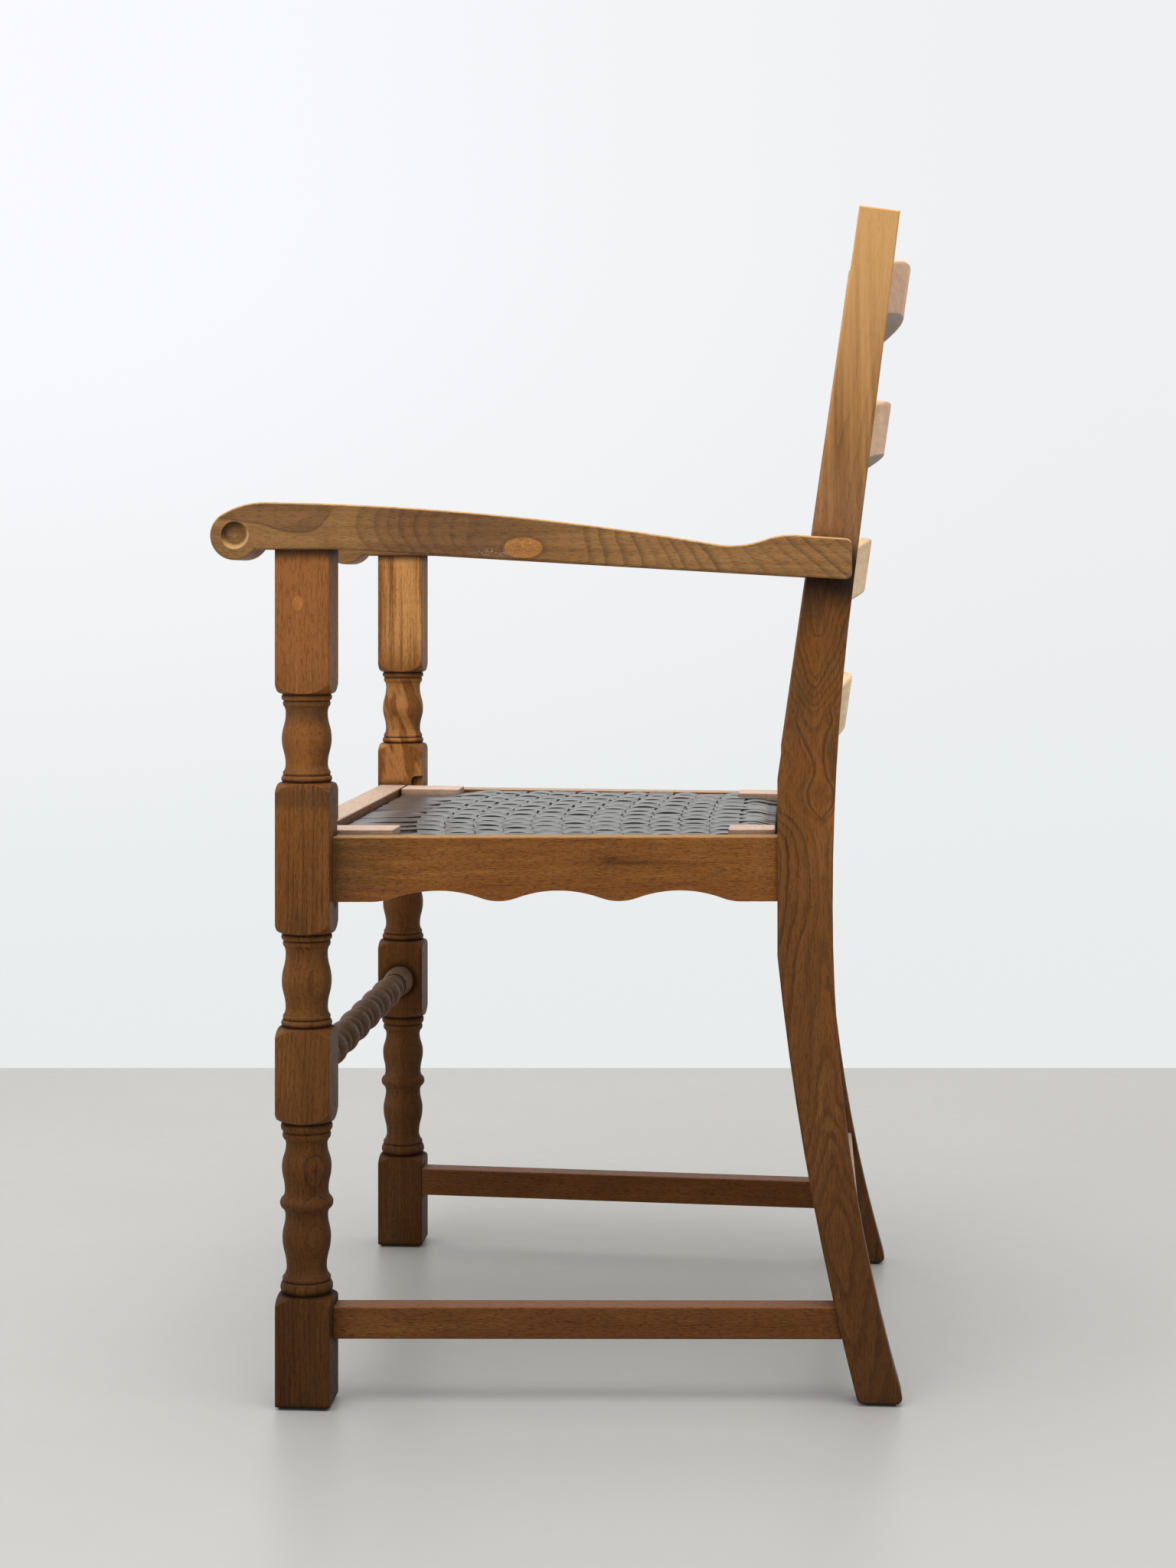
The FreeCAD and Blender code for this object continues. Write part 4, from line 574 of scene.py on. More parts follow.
class ARMCHAIR_OT_back_posts(bpy.types.Operator):
    """Finishes the two sawn back posts"""

    bl_idname = "armchair.back_posts"
    bl_label = "Back posts"

    def execute(self, context):
        for number, side in enumerate(SIDES):
            finish_wood(context.scene.armchair_wood, f"back_post_{side}", f"Back post {side}",
                        "Z", (0.050, 0.006), 11 + number * 3, rings=0.20, streaks=0.5,
                        floor_dark=0.34, light=1.12, pores=0.25, field=post_rings,
                        tones=post_tones, shelter_reach=0.020, pore_fade=(0.62, 0.80))
        return {"FINISHED"}


# Arms. The arm's middle height along it, the growth rings counted along that line, and the
# height of the seam between its golden and its smoky wood.
ARM_LINE = ((-0.29, 0.690), (-0.165, 0.695), (-0.032, 0.6836), (0.097, 0.6707), (0.20, 0.6707))
ARM_RINGS_ALONG = ((-0.29, -0.80), (-0.185, -0.70), (-0.165, 0.0), (-0.1505, 1.0),
                   (-0.1404, 2.0), (-0.1315, 3.0), (-0.119, 4.0), (-0.1077, 5.0),
                   (-0.091, 6.0), (-0.0774, 7.0), (-0.045, 7.7), (0.0, 7.8), (0.0146, 8.0),
                   (0.0289, 9.0), (0.0432, 10.0), (0.0569, 11.0), (0.0682, 12.0),
                   (0.0789, 13.0), (0.0878, 14.0), (0.0997, 15.0), (0.1116, 16.0),
                   (0.1265, 17.0), (0.1443, 18.0), (0.1592, 19.0), (0.174, 20.0), (0.2, 22.0))
ARM_SEAM = ((-0.30, 0.705), (-0.2426, 0.6975), (-0.207, 0.6905), (-0.1970, 0.693),
            (-0.1890, 0.700), (-0.1813, 0.710))

# Places on the arm, along the chair and up: the knot and the scuffs beside it, with their
# reach, and the middle of the dish. The last is how far out across the chair its face lies.
ARM_KNOT = (-0.0325, 0.6780, 0.0190, 0.0100)
ARM_SCUFFS = (-0.0560, 0.6740, 0.012, 0.004)
DISH_PLACE = (-0.2605, 0.6885)
DISH_FACES = (0.262, 0.266)


def arm_rings(g, x, y, z):
    """Rings stand across the arm, hollow before its knot and leaning behind it."""
    rise = z - g.profile(y, ARM_LINE)
    bent = g.ease(y, -0.08, -0.03, 27.0, 0.0)
    lean = g.ease(y, -0.03, 0.24, 0.10, 1.25)
    along = y - rise * rise * bent + rise * lean
    sway = g.cloud(g.join(x * 20.0, y * 40.0, z * 40.0)) - 0.5
    depth = high("arm_left").x - abs(x)
    return g.profile(along, ARM_RINGS_ALONG) + sway * 0.4 + depth * 300.0


def arm_tones(g, x, y, z, colour, line, streak):
    """Golden in front, smoky in the middle, with a pale scuffed knot."""
    over_seam = z - g.profile(y, ARM_SEAM)
    wave = g.ease(over_seam, -0.0012, 0.0006) * g.ease(y, -0.186, -0.180, 1.0, 0.0)
    smoky = g.most(wave * 0.8, g.between(y, -0.175, -0.125, -0.055, 0.03))
    golden = g.blend(g.ease(streak, 0.3, 0.7), (0.255, 0.130, 0.047), (0.385, 0.208, 0.078))
    dusky = g.blend(g.ease(streak, 0.3, 0.7), (0.150, 0.078, 0.034), (0.235, 0.118, 0.050))
    colour = g.blend(0.75, colour, g.blend(smoky, golden, dusky))
    colour = g.blend(line * 0.62, colour, (0.085, 0.042, 0.018))
    edge = g.ease(abs(over_seam), 0.0004, 0.0016, 1.0, 0.0)
    colour = g.blend(edge * g.ease(y, -0.186, -0.180, 0.5, 0.0), colour, (0.110, 0.050, 0.020))
    knot = g.spot(y, z, *ARM_KNOT)
    colour = g.blend(g.ease(knot, 0.30, 0.50) * 0.5, colour, (0.120, 0.060, 0.024))
    colour = g.blend(g.ease(knot, 0.50, 0.56) * g.ease(streak, 0.2, 0.8, 0.6, 1.0), colour,
                     (0.460, 0.190, 0.048))
    scuff = g.cloud(g.join(x * 200.0, y * 500.0, z * 900.0), 1.0, 3.0, 0.7)
    scuffed = g.most(g.ease(scuff, 0.58, 0.68) * g.ease(knot, 0.40, 0.7),
                     g.spot(y, z, *ARM_SCUFFS) * g.ease(scuff, 0.52, 0.64))
    colour = g.blend(scuffed * 0.6, colour, (0.60, 0.48, 0.36))

    # Painted shade on the dish's upper wall and a painted highlight on its lower rim, and the top
    # is paler golden, partly wear and partly painted light from above
    along, rise = y - DISH_PLACE[0], z - DISH_PLACE[1]
    reach = g.maths("SQRT", along * along + rise * rise)
    side = (rise - along * 0.7) / reach
    outer = g.ease(abs(x), *DISH_FACES)
    dish_shade = g.between(reach, 0.0050, 0.0090, 0.0104, 0.0112) * outer
    colour = g.blend(dish_shade * g.ease(side, -0.2, 1.0) * 0.85, colour, (0.045, 0.022, 0.010))
    dish_highlight = g.between(reach, 0.0082, 0.0098, 0.0106, 0.0116) * outer
    colour = g.blend(dish_highlight * g.ease(side, 0.1, -1.0) * 0.85, colour, (0.78, 0.56, 0.32))
    return g.blend(g.ease(g.facing()[2], 0.10, 0.55) * 0.75, colour, (0.62, 0.37, 0.155))


class ARMCHAIR_OT_arms(bpy.types.Operator):
    """Finishes the two scrolled arms and the dowels that pin them"""

    bl_idname = "armchair.arms"
    bl_label = "Arms"

    def execute(self, context):
        settings = context.scene.armchair_wood
        for number, side in enumerate(SIDES):
            finish_wood(settings, f"arm_{side}", f"Arm {side}", "Y", (-0.085, 0.018),
                        21 + number * 5, light=1.10, rings=0.12, streaks=0.45, pores=0.22,
                        floor_dark=0.9, wear=0.85, rub_width=0.0026, field=arm_rings,
                        tones=arm_tones)
        finish_wood(settings, "arm_dowels", "Dowel", "X", (0.02, 0.02), 2)
        return {"FINISHED"}


# Rails. Dark streaks on the side rails, and how strong and what colour their tops are.
RAIL_WISPS = ((0.052, 0.4285, 0.030, 0.0022), (0.034, 0.4300, 0.008, 0.0040))
RAIL_TOPS = ((0.7, (0.52, 0.30, 0.12)), (0.9, (0.56, 0.43, 0.35)))


def rail_tones(g, x, y, z, colour, line, streak):
    """A dark streak behind the middle, and darker towards the front leg and the lower edge."""
    colour = g.blend(g.spots(y, z, RAIL_WISPS) * 0.65, colour, (0.050, 0.022, 0.008))
    dusk = g.ease(y + (streak - 0.5) * 0.10, -0.12, -0.185)
    colour = g.blend(dusk * 0.7, colour, (0.100, 0.050, 0.019))
    return g.blend(g.ease(z, 0.420, 0.404) * 0.35, colour, (0.200, 0.062, 0.015))


class ARMCHAIR_OT_rails(bpy.types.Operator):
    """Finishes the seat rails, the plain stretchers and the corner braces"""

    bl_idname = "armchair.rails"
    bl_label = "Rails, stretchers and braces"

    def execute(self, context):
        settings = context.scene.armchair_wood
        for number, (side, (top, top_colour)) in enumerate(zip(SIDES, RAIL_TOPS)):
            finish_wood(settings, f"side_rail_{side}", f"Side rail {side}", "Y",
                        (0.110, 0.060), 31 + number * 2, tint=(1.03, 1.0, 0.90), light=1.10,
                        rings=0.24, ring_share=0.50, figure=0.35, streaks=0.95, blotch=0.4,
                        floor_dark=0.85, top=top, top_colour=top_colour, tones=rail_tones)
            finish_wood(settings, f"side_stretcher_{side}", f"Side stretcher {side}", "Y",
                        (0.060, 0.050), 35 + number * 2, tint=(1.04, 0.93, 0.84), light=1.04,
                        ring_share=0.6, figure=0.5, rings=0.2, floor_dark=0.5, top=0.6,
                        top_colour=(0.50, 0.24, 0.12))
            for end in ENDS:
                finish_wood(settings, f"corner_brace_{end}_{side}", f"Brace {end} {side}", "X",
                            (0.03, 0.05), 41 + number, light=1.3, floor_dark=1.0, wear=0.1,
                            grey=0.25)
        for number, node in enumerate(("front_rail", "back_rail", "back_stretcher")):
            finish_wood(settings, node, node.replace("_", " ").capitalize(), "X",
                        (0.090, 0.070), 45 + number, ring_share=0.6, figure=0.5,
                        floor_dark=0.7, top=0.92, top_colour=(0.72, 0.54, 0.41))
        return {"FINISHED"}


# The slats' grey-pink, from the lowest slat to the highest, partly their own colour and partly
# painted sheen
SLAT_COLOURS = ((0.54, 0.41, 0.25), (0.52, 0.38, 0.225), (0.48, 0.31, 0.195), (0.46, 0.285, 0.18))


class ARMCHAIR_OT_slats(bpy.types.Operator):
    """Finishes the four curved slats"""

    bl_idname = "armchair.slats"
    bl_label = "Back slats"

    def execute(self, context):
        for number, colour in enumerate(SLAT_COLOURS):
            finish_wood(context.scene.armchair_wood, f"back_slat_{number + 1}",
                        f"Slat {number + 1}", "X", (0.075, -0.05 + 0.02 * number),
                        51 + number * 3, light=1.95, ring_share=0.6, figure=0.9,
                        floor_dark=1.0, grey=1.0, wear=0.25, grey_colour=colour, bottom=0.85)
        return {"FINISHED"}


class ARMCHAIR_OT_seat_frame(bpy.types.Operator):
    """Finishes the lift-out frame and its corner blocks"""

    bl_idname = "armchair.seat_frame"
    bl_label = "Seat frame"

    def execute(self, context):
        settings = context.scene.armchair_wood
        for number, (place, along) in enumerate((("left", "Y"), ("right", "Y"), ("front", "X"),
                                                 ("back", "X"))):
            finish_wood(settings, f"seat_bar_{place}", f"Seat bar {number + 1}", along,
                        (0.05, 0.04), 61 + number, light=1.05, floor_dark=1.0, wear=0.2,
                        grey=0.5)
        for number, (end, along) in enumerate(zip(ENDS, "YX")):
            for other, side in enumerate(SIDES):
                finish_wood(settings, f"seat_corner_{end}_{side}",
                            f"Corner block {end} {side}", along, (0.04, 0.03),
                            71 + number * 2 + other, light=1.32, floor_dark=1.0, wear=0.4,
                            ring_share=0.7, rings=0.5, grey=0.8,
                            grey_colour=(0.50, 0.36, 0.275), top=0.7,
                            top_colour=(0.62, 0.46, 0.37))
        return {"FINISHED"}


# Woven seat. The straps' level, how far from it they rest on the bars, the bend over a bar's
# edge, and the room between a turned-down end and the bar.
STRAP_LEVEL = SEAT_TOP + 0.0022
REST = -0.0008
FOLD_RADIUS = 0.0022
BAR_ROOM = 0.0008

# The share of the way between two crossings in which a strap rises, how far the short straps
# go into the corner blocks, and how many strap widths fill half the seat
RISE_SHARE = 0.92
TUCK = 0.003
WIDTHS_IN_HALF = 10.15

# Where the lengthwise straps start to lie free, in front of the first crosswise one and behind
# the last one, and where and how much the last crosswise one is squeezed between the blocks
FREE_FRONT, FREE_FRONT_LENGTH = -0.120, 0.020
FREE_BACK, FREE_BACK_LENGTH = 0.122, 0.018
SQUEEZE_START, SQUEEZE_LENGTH = 0.146, 0.018
SQUEEZE = 0.0085

# How far straps stray from their lines, how fast, and how much each is ahead of the next
LENGTHWISE_SWAY = (0.0006, 47, 2.1)
CROSSWISE_SWAY = (0.0005, 41, 1.7)

# The right-hand side of the seat is slacker: by how much, from where and over what length
SLACK, SLACK_START, SLACK_LENGTH = 0.2, -0.04, 0.14

# A strap's columns, its rows and its edges' curl by its direction, and the most that it leans,
# slips aside and twists where it lies free
STRAP_COLUMNS = 6
STRAP_ROWS = {"Y": 210, "X": 260}
CURL = {"Y": 0.00016, "X": 0.00014}
LEAN = 0.03
SLIP = {"Y": 0.0006, "X": 0.0005}
BACK_TWIST = (-0.02, 0.06)
FRONT_TWIST = (-0.04, 0.055)


def clamp(value):
    return max(0.0, min(1.0, value))


def fold_over(travel, run, bend):
    """Where a strap lies that goes down at both ends of a level run. It gives the way along the
    run, the fall below it and the lean of the strap there."""
    sign, past, start = -1.0, -travel, 0.0
    if travel > run:
        sign, past, start = 1.0, travel - run, run
    if past <= 0:
        return travel, 0.0, 0.0
    quarter = bend * math.pi / 2
    if past < quarter:
        angle = past / bend
        return start + sign * bend * math.sin(angle), bend * (1 - math.cos(angle)), sign * angle
    return start + sign * bend, bend + past - quarter, sign * math.pi / 2


def wave(place, crossings, highs):
    """Height of a woven strap between the heights that it has at its crossings."""
    if place <= crossings[0]:
        return highs[0]
    for first, second, height, after in zip(crossings, crossings[1:], highs, highs[1:]):
        if place <= second:
            share = (place - first) / (second - first)
            share = clamp((share - 0.5) / RISE_SHARE + 0.5)
            return height + (after - height) * (1 - math.cos(math.pi * share)) / 2
    return highs[-1]


def even(leans, share):
    """The lean at a share of a strap's length, between evenly spaced leans."""
    last = len(leans) - 1
    index = min(last - 1, int(share * last))
    part = share * last - index
    return leans[index] * (1 - part) + leans[index + 1] * part


def stray(number, place, reach, pace, step):
    """How far aside a numbered strap strays at a place."""
    return reach * math.sin(place * pace + number * step)


def lay_strap(mesh, settings, along, start, run, drop, crossings, highs, aside, width_at,
              tilt_at):
    """One strap, as a grid that is laid over the bars and its crossings and then given its
    thickness. The last three are functions: how far aside of its axis it lies at a place, and
    its width and its tilt at a share of its length."""
    grid = bmesh.ops.create_grid(mesh, x_segments=STRAP_ROWS[along], y_segments=STRAP_COLUMNS,
                                 size=0.5)
    verts = grid["verts"]
    across = Vector((1, 0, 0)) if along == "Y" else Vector((0, 1, 0))
    for vert in verts:
        share, side = vert.co.x + 0.5, vert.co.y * 2
        way, fall, lean = fold_over(-drop + (run + 2 * drop) * share, run, FOLD_RADIUS)
        place = start + way
        z = STRAP_LEVEL + wave(place, crossings, highs) - fall
        if along == "Y":
            point = Vector((aside(place), place, z))
            up = Vector((0, math.sin(lean), math.cos(lean)))
        else:
            point = Vector((place, aside(place), z))
            up = Vector((math.sin(lean), 0, math.cos(lean)))
        half = settings.width / 2 * width_at(share)
        tilt = tilt_at(share)
        vert.co = (point + across * (side * half * math.cos(tilt))
                   + up * (CURL[along] * (side * side - 0.35) + side * half * math.sin(tilt)))
    faces = list(dict.fromkeys(face for vert in verts for face in vert.link_faces))
    bmesh.ops.recalc_face_normals(mesh, faces=faces)
    if sum((face.normal.z for face in faces), 0.0) < 0:
        bmesh.ops.reverse_faces(mesh, faces=faces)
    bmesh.ops.solidify(mesh, geom=faces, thickness=settings.thickness)


def row_y(row, x):
    """The middle of a crosswise strap at a place across the seat."""
    y = WEAVE_FRONT + (WEAVE_BACK - WEAVE_FRONT) * (row + 0.5) / CROSSWISE_COUNT
    bow = BOW_FRONT + (BOW_BACK - BOW_FRONT) * (row / (CROSSWISE_COUNT - 1)) ** 1.5
    return y - bow * (1 - (x / seat_half(y)) ** 2)


def column_x(column, y):
    """The middle of a lengthwise strap. The straps fan out with the side bars."""
    middle_column = (LENGTHWISE_COUNT - 1) / 2
    return (column - middle_column) / middle_column * (seat_half(y) - STRAP_INSET)


def is_over(row, column):
    """Whether a lengthwise strap passes over a crosswise one."""
    return (row + column) % 2 == 0


def lift(settings, luck, x):
    """A crossing's height, by where it lies and by chance."""
    slack = 1.0 + SLACK * clamp((SLACK_START - x) / SLACK_LENGTH)
    return settings.arch * slack * luck.uniform(0.82, 1.20)


def build_lengthwise(settings):
    mesh = bmesh.new()
    luck = random.Random(4)
    for column in range(LENGTHWISE_COUNT):
        tucked = min(column, LENGTHWISE_COUNT - 1 - column) < TUCKED_COUNT
        if tucked:
            start = high("seat_corner_front_left").y - TUCK
            end = low("seat_corner_back_left").y + TUCK
            drop, crossings, highs = 0.0, [start], [REST]
        else:
            start = SEAT_FRONT - BAR_ROOM + FOLD_RADIUS
            end = SEAT_BACK + BAR_ROOM - FOLD_RADIUS
            drop, crossings = settings.drop, [start, start + BAR_WIDTH * 0.8]
            highs = [REST, REST + luck.uniform(0.0, 0.0018)]
        run = end - start
        for row in range(CROSSWISE_COUNT):
            x = column_x(column, row_y(row, 0.0))
            crossings.append(row_y(row, x))
            highs.append(lift(settings, luck, x) if is_over(row, column) else -settings.dip)
        # Behind the weave a strap rises once more and then rests on the back bar
        behind = max(crossings[-1] + 0.012, end - BAR_WIDTH * 0.45)
        crossings += [behind, max(end, behind + 0.002)]
        highs += [lift(settings, luck, x) * luck.uniform(0.5, 1.0), REST]
        leans = [luck.uniform(-LEAN, LEAN) for _ in range(5)]
        slip = luck.uniform(-SLIP["Y"], SLIP["Y"])
        back_twist, front_twist = luck.uniform(*BACK_TWIST), luck.uniform(*FRONT_TWIST)
        if tucked:
            back_twist = front_twist = 0.0

        def aside(y):
            return column_x(column, y) + slip + stray(column, y, *LENGTHWISE_SWAY)

        def width_at(share):
            return (seat_half(start + run * share) - STRAP_INSET) / WIDTHS_IN_HALF / settings.width

        def tilt_at(share):
            y = start + run * share
            return (even(leans, share) + back_twist * clamp((y - FREE_BACK) / FREE_BACK_LENGTH)
                    + front_twist * clamp((FREE_FRONT - y) / FREE_FRONT_LENGTH))

        lay_strap(mesh, settings, "Y", start, run, drop, crossings, highs, aside, width_at,
                  tilt_at)
    return mesh


def build_crosswise(settings):
    mesh = bmesh.new()
    luck = random.Random(9)
    for row in range(CROSSWISE_COUNT):
        half = seat_half(row_y(row, 0.2)) + BAR_ROOM - FOLD_RADIUS
        run = 2 * half
        crossings, highs = [-half], [REST]
        for column in range(LENGTHWISE_COUNT):
            x = column_x(column, row_y(row, column_x(column, row_y(row, 0.0))))
            crossings.append(x)
            highs.append(-settings.dip if is_over(row, column) else lift(settings, luck, x))
        crossings.append(half)
        highs.append(REST)
        slip = luck.uniform(-SLIP["X"], SLIP["X"])
        leans = [luck.uniform(-LEAN, LEAN) for _ in range(7)]
        squeeze = SQUEEZE if row == CROSSWISE_COUNT - 1 else 0.0

        def narrowing(x):
            return clamp((abs(x) - SQUEEZE_START) / SQUEEZE_LENGTH) * squeeze

        def aside(x):
            return row_y(row, x) + slip + stray(row, x, *CROSSWISE_SWAY) - narrowing(x) / 2

        def width_at(share):
            return 1.0 - narrowing(run * (share - 0.5)) / settings.width

        def tilt_at(share):
            return even(leans, share)

        lay_strap(mesh, settings, "X", -half, run, settings.drop, crossings, highs, aside,
                  width_at, tilt_at)
    return mesh


def strap_material(name, settings, along):
    """Dark flat strap with a soft sheen, fine lengthwise scratches and dusty, scuffed tops."""
    g = Graph(bpy.data.materials.new(name))
    place = g.place()
    x, y, z = spread = g.split(place)
    a, b, c = (spread[index] for index in AXES[along])
    scratch = g.cloud(g.join(a * 900.0, b * 900.0, c * 22.0), 1.0, 2.0, 0.6)
    patch = g.cloud(g.join(a * 30.0, b * 30.0, c * 18.0), 1.0, 3.0, 0.55)
    speck = g.cloud(place, 1500.0, 1.0)
    dust = g.ease(patch, 0.42, 0.72) * 0.35 + g.ease(scratch, 0.60, 0.75) * 0.25
    colour = g.blend(dust, settings.colour, (0.22, 0.22, 0.21))
    colour = g.blend(g.ease(speck, 0.62, 0.72) * 0.25, colour, (0.30, 0.29, 0.27))
    # Painted reflection of the front bar's warm wood on the straps near the front
    painted_rail_reflection = g.ease(y, -0.125, -0.155) * g.ease(patch, 0.25, 0.6, 0.5, 1.0)
    colour = g.blend(painted_rail_reflection * 0.9, colour, (0.052, 0.040, 0.036))

    # Painted shade where a strap sinks under another, inside the weave; the cut edges are dark,
    # partly the strap's own colour and partly painted shade in the slits
    slope = (SEAT_HALF_BACK - SEAT_HALF_FRONT) / (SEAT_BACK - SEAT_FRONT)
    across_share = x / ((y - SEAT_FRONT) * slope + SEAT_HALF_FRONT)
    bowed = y + (1.0 - across_share * across_share) * (BOW_FRONT * 0.9)
    inside = (g.ease(bowed, WEAVE_FRONT - 0.001, WEAVE_FRONT + 0.004)
              * g.ease(abs(across_share), 0.945, 0.965, 1.0, 0.0))
    painted_sunk_shade = g.ease(z, STRAP_LEVEL + 0.0003, STRAP_LEVEL - 0.0005) * inside
    colour = g.blend(painted_sunk_shade * 0.95, colour, (0.008, 0.008, 0.007))
    colour = g.blend(g.ease(abs(g.facing()[2]), 0.30, 0.75, 1.0, 0.0), colour,
                     (0.010, 0.010, 0.009))
    roughness = (patch - 0.5) * 0.22 + (scratch - 0.5) * 0.15 + settings.roughness
    return surface(g, colour, roughness, scratch * 0.5 + patch * 0.8, 0.0003, coat=0.15,
                   coat_roughness=0.25)


def to_object(name, mesh, body, node, material):
    """Makes a finished mesh a piece that rides on a body and stands for a node of the frame."""
    data = bpy.data.meshes.new(name)
    mesh.to_mesh(data)
    mesh.free()
    data.materials.append(material)
    for face in data.polygons:
        face.use_smooth = True
    data.set_sharp_from_angle(angle=math.radians(35.0))
    piece = bpy.data.objects.new(name, data)
    bpy.context.scene.collection.objects.link(piece)
    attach(piece, body)
    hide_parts(node)


class ARMCHAIR_OT_straps(bpy.types.Operator):
    """Weaves the seat from lengthwise and crosswise straps"""

    bl_idname = "armchair.straps"
    bl_label = "Woven straps"

    def execute(self, context):
        settings = context.scene.armchair_straps
        to_object("woven_lengthwise_straps", build_lengthwise(settings), SEAT_BODY,
                  "lengthwise_straps", strap_material("Lengthwise strap", settings, "Y"))
        to_object("woven_crosswise_straps", build_crosswise(settings), SEAT_BODY,
                  "crosswise_straps", strap_material("Crosswise strap", settings, "X"))
        return {"FINISHED"}


class ARMCHAIR_OT_foot_pads(bpy.types.Operator):
    """Finishes the dark pads under the feet"""

    bl_idname = "armchair.foot_pads"
    bl_label = "Foot pads"

    def execute(self, context):
        g = Graph(bpy.data.materials.new("Dark foot pad"))
        hair = g.cloud(g.place(), 2600.0, 3.0, 0.7)
        colour = g.blend(g.ease(hair, 0.35, 0.7), (0.020, 0.017, 0.015), (0.075, 0.066, 0.058))
        pad_finish = surface(g, colour, 0.95, hair, 0.0004, sheen=0.3)
        for end in ENDS:
            for side in SIDES:
                clothe(f"foot_pad_{end}_{side}", pad_finish)
        return {"FINISHED"}


# Stage

def add_lamp(name, place, target, size, power, colour):
    lamp = bpy.data.lights.new(name, "AREA")
    lamp.shape = "RECTANGLE"
    lamp.size, lamp.size_y = size
    lamp.energy = power
    lamp.color = colour
    holder = bpy.data.objects.new(name, lamp)
    holder.location = place
    holder.rotation_euler = (Vector(target) - Vector(place)).to_track_quat("-Z", "Y").to_euler()
    bpy.context.scene.collection.objects.link(holder)


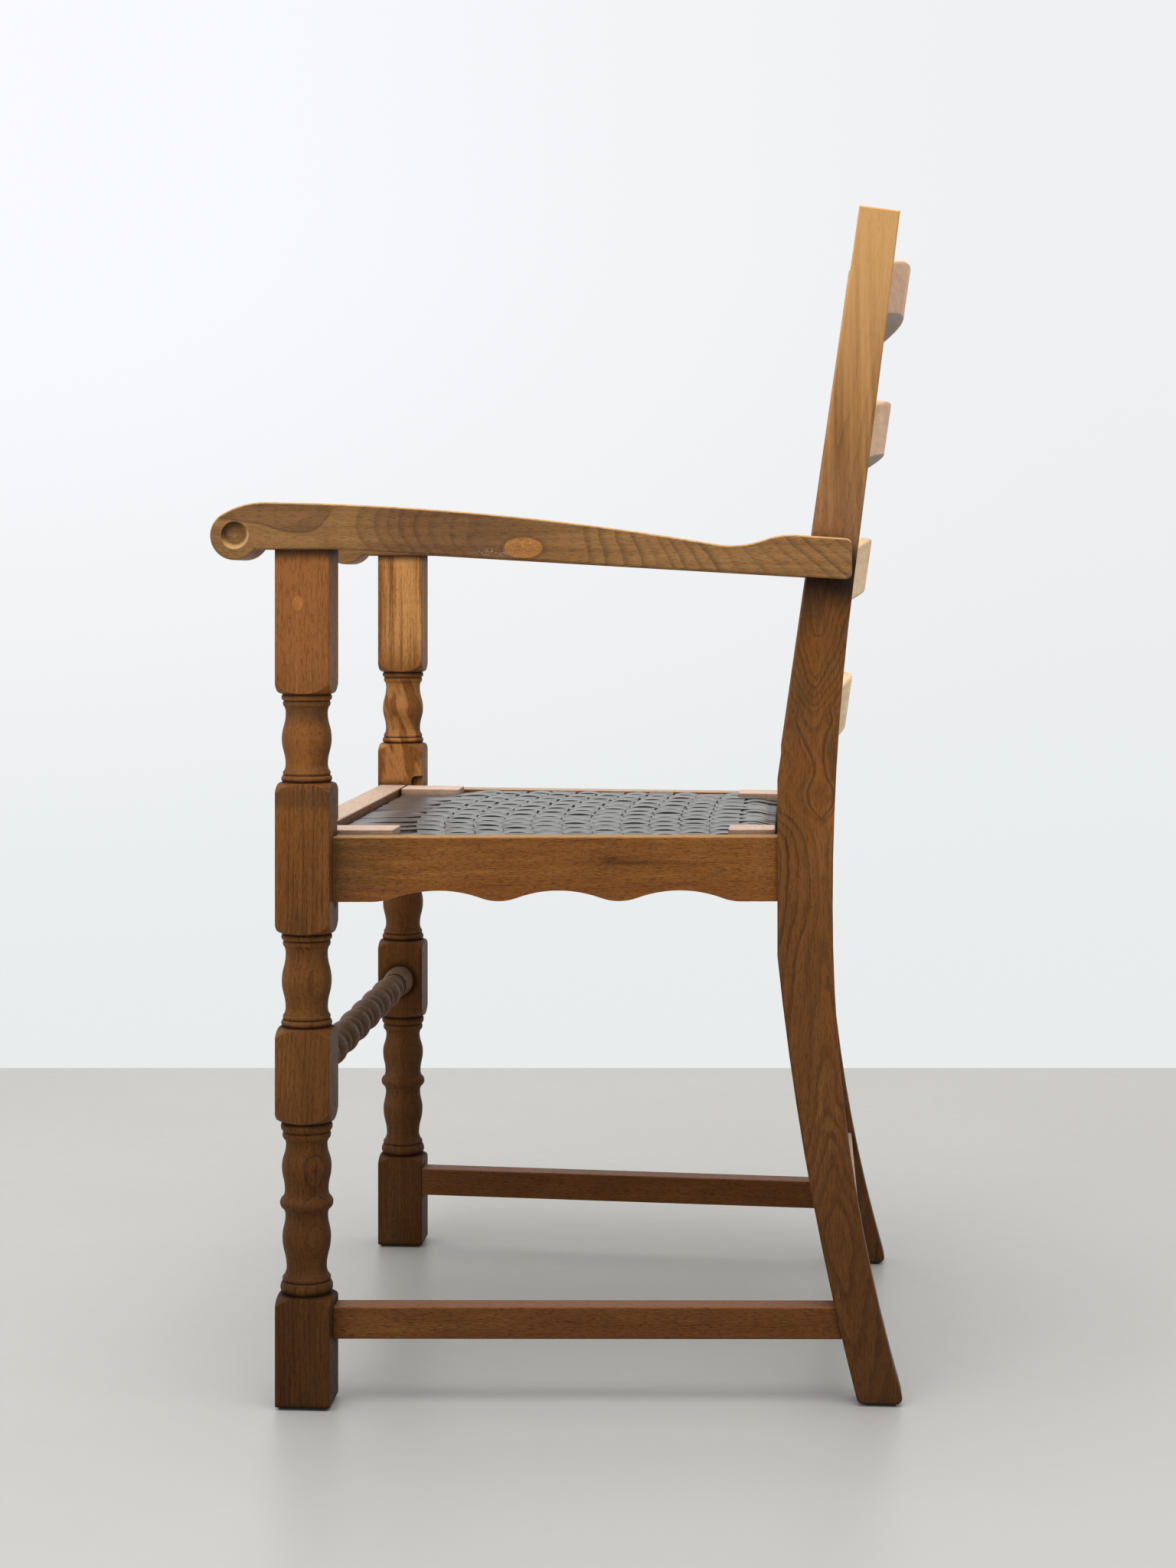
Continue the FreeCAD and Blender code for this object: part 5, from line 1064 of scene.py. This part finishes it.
class ARMCHAIR_OT_stage(bpy.types.Operator):
    """Sets the floor, the backdrop, the lamps and the camera"""

    bl_idname = "armchair.stage"
    bl_label = "Stage"

    def execute(self, context):
        settings = context.scene.armchair_stage
        self.lay_floor(settings)
        self.hang_backdrop(context, settings)
        add_lamp("Overhead lamp", (0.55, -0.10, 2.35), (0.0, 0.0, 0.55), (1.3, 1.6),
                 settings.overhead, (1.0, 0.985, 0.96))
        add_lamp("Side lamp", (2.6, -1.2, 1.5), (0.0, 0.0, 0.5), (1.4, 1.4), settings.fill,
                 (1.0, 0.99, 0.98))
        self.set_camera(context, settings)
        return {"FINISHED"}

    def lay_floor(self, settings):
        behind_camera, half_width = 0.3, 2.4
        foot = Vector((settings.camera_x, settings.camera_y, 0.0))
        turn = Matrix.Rotation(settings.camera_turn, 3, "Z")
        mesh = bmesh.new()
        bmesh.ops.create_grid(mesh, x_segments=1, y_segments=1, size=1.0)
        for vert in mesh.verts:
            away = settings.floor_reach if vert.co.x < 0 else behind_camera
            vert.co = foot + turn @ Vector((-away, vert.co.y * half_width, 0.0))
        data = bpy.data.meshes.new("floor")
        mesh.to_mesh(data)
        mesh.free()
        g = Graph(bpy.data.materials.new("Pale floor"))
        place = g.place()
        fine = g.cloud(place, 60.0)
        colour = g.blend(g.ease(g.cloud(place, 3.0, 3.0, 0.55), 0.3, 0.7) * 0.5, settings.floor,
                         tuple(part * 0.95 for part in settings.floor))
        data.materials.append(surface(g, colour, (fine - 0.5) * 0.1 + 0.40, fine, 0.0001,
                                      specular=0.35))
        floor = bpy.data.objects.new("floor", data)
        bpy.context.scene.collection.objects.link(floor)

    def hang_backdrop(self, context, settings):
        context.scene.world = bpy.data.worlds.new("Backdrop")
        g = Graph(context.scene.world)
        seen = g.most(*(g.add("ShaderNodeLightPath", out=f"Is {kind} Ray")
                        for kind in ("Camera", "Transmission", "Glossy")))
        _, aside, rise = g.split(g.add("ShaderNodeTexCoord", out="Generated"))
        above = g.blend(g.ease(aside, -0.30, 0.14), settings.sky_high, settings.sky_side)
        backdrop = g.blend(g.ease(rise, -0.18, 0.14), settings.sky_low, above)
        lit = g.add("ShaderNodeBackground", Color=(1.0, 0.995, 0.985),
                    Strength=g.ease(rise, 0.0, 0.80, settings.ambient, settings.zenith))
        shown = g.add("ShaderNodeBackground", Color=backdrop, Strength=1.0)
        g.finish("ShaderNodeOutputWorld", g.add("ShaderNodeMixShader", seen, lit, shown))
        context.scene.view_settings.view_transform = "Standard"

    def set_camera(self, context, settings):
        data = bpy.data.cameras.new("Camera")
        data.sensor_fit = "VERTICAL"
        data.sensor_height = 36.0
        data.lens = data.sensor_height * PHOTO_FOCAL / PHOTO_HEIGHT
        data.shift_y = -(PHOTO_HEIGHT / 2 - PHOTO_HORIZON) / PHOTO_HEIGHT
        data.clip_end = 50.0
        camera = bpy.data.objects.new("Camera", data)
        camera.location = (settings.camera_x, settings.camera_y, settings.camera_z)
        camera.rotation_euler = (math.pi / 2, 0.0, math.pi / 2 + settings.camera_turn)
        context.scene.collection.objects.link(camera)
        context.scene.camera = camera


class ARMCHAIR_PT_panel(bpy.types.Panel):
    """Lists the steps that dress the armchair"""

    bl_label = "Armchair"
    bl_idname = "ARMCHAIR_PT_panel"
    bl_space_type = "VIEW_3D"
    bl_region_type = "UI"
    bl_category = "Armchair"

    def draw(self, context):
        column = self.layout.column()
        for step in STEPS:
            column.operator(step.bl_idname)


STEPS = (
    ARMCHAIR_OT_stage,
    ARMCHAIR_OT_front_legs,
    ARMCHAIR_OT_back_posts,
    ARMCHAIR_OT_arms,
    ARMCHAIR_OT_rails,
    ARMCHAIR_OT_slats,
    ARMCHAIR_OT_seat_frame,
    ARMCHAIR_OT_straps,
    ARMCHAIR_OT_foot_pads,
)
SETTINGS = (
    ("armchair_wood", WoodSettings),
    ("armchair_straps", StrapSettings),
    ("armchair_stage", StageSettings),
)


def register():
    for name, group in SETTINGS:
        bpy.utils.register_class(group)
        setattr(bpy.types.Scene, name, PointerProperty(type=group))
    for step in STEPS:
        bpy.utils.register_class(step)
    bpy.utils.register_class(ARMCHAIR_PT_panel)


def unregister():
    bpy.utils.unregister_class(ARMCHAIR_PT_panel)
    for step in reversed(STEPS):
        bpy.utils.unregister_class(step)
    for name, group in reversed(SETTINGS):
        delattr(bpy.types.Scene, name)
        bpy.utils.unregister_class(group)


def main():
    register()
    for step in STEPS:
        group, name = step.bl_idname.split(".")
        getattr(getattr(bpy.ops, group), name)()


if __name__ == "__main__":
    main()
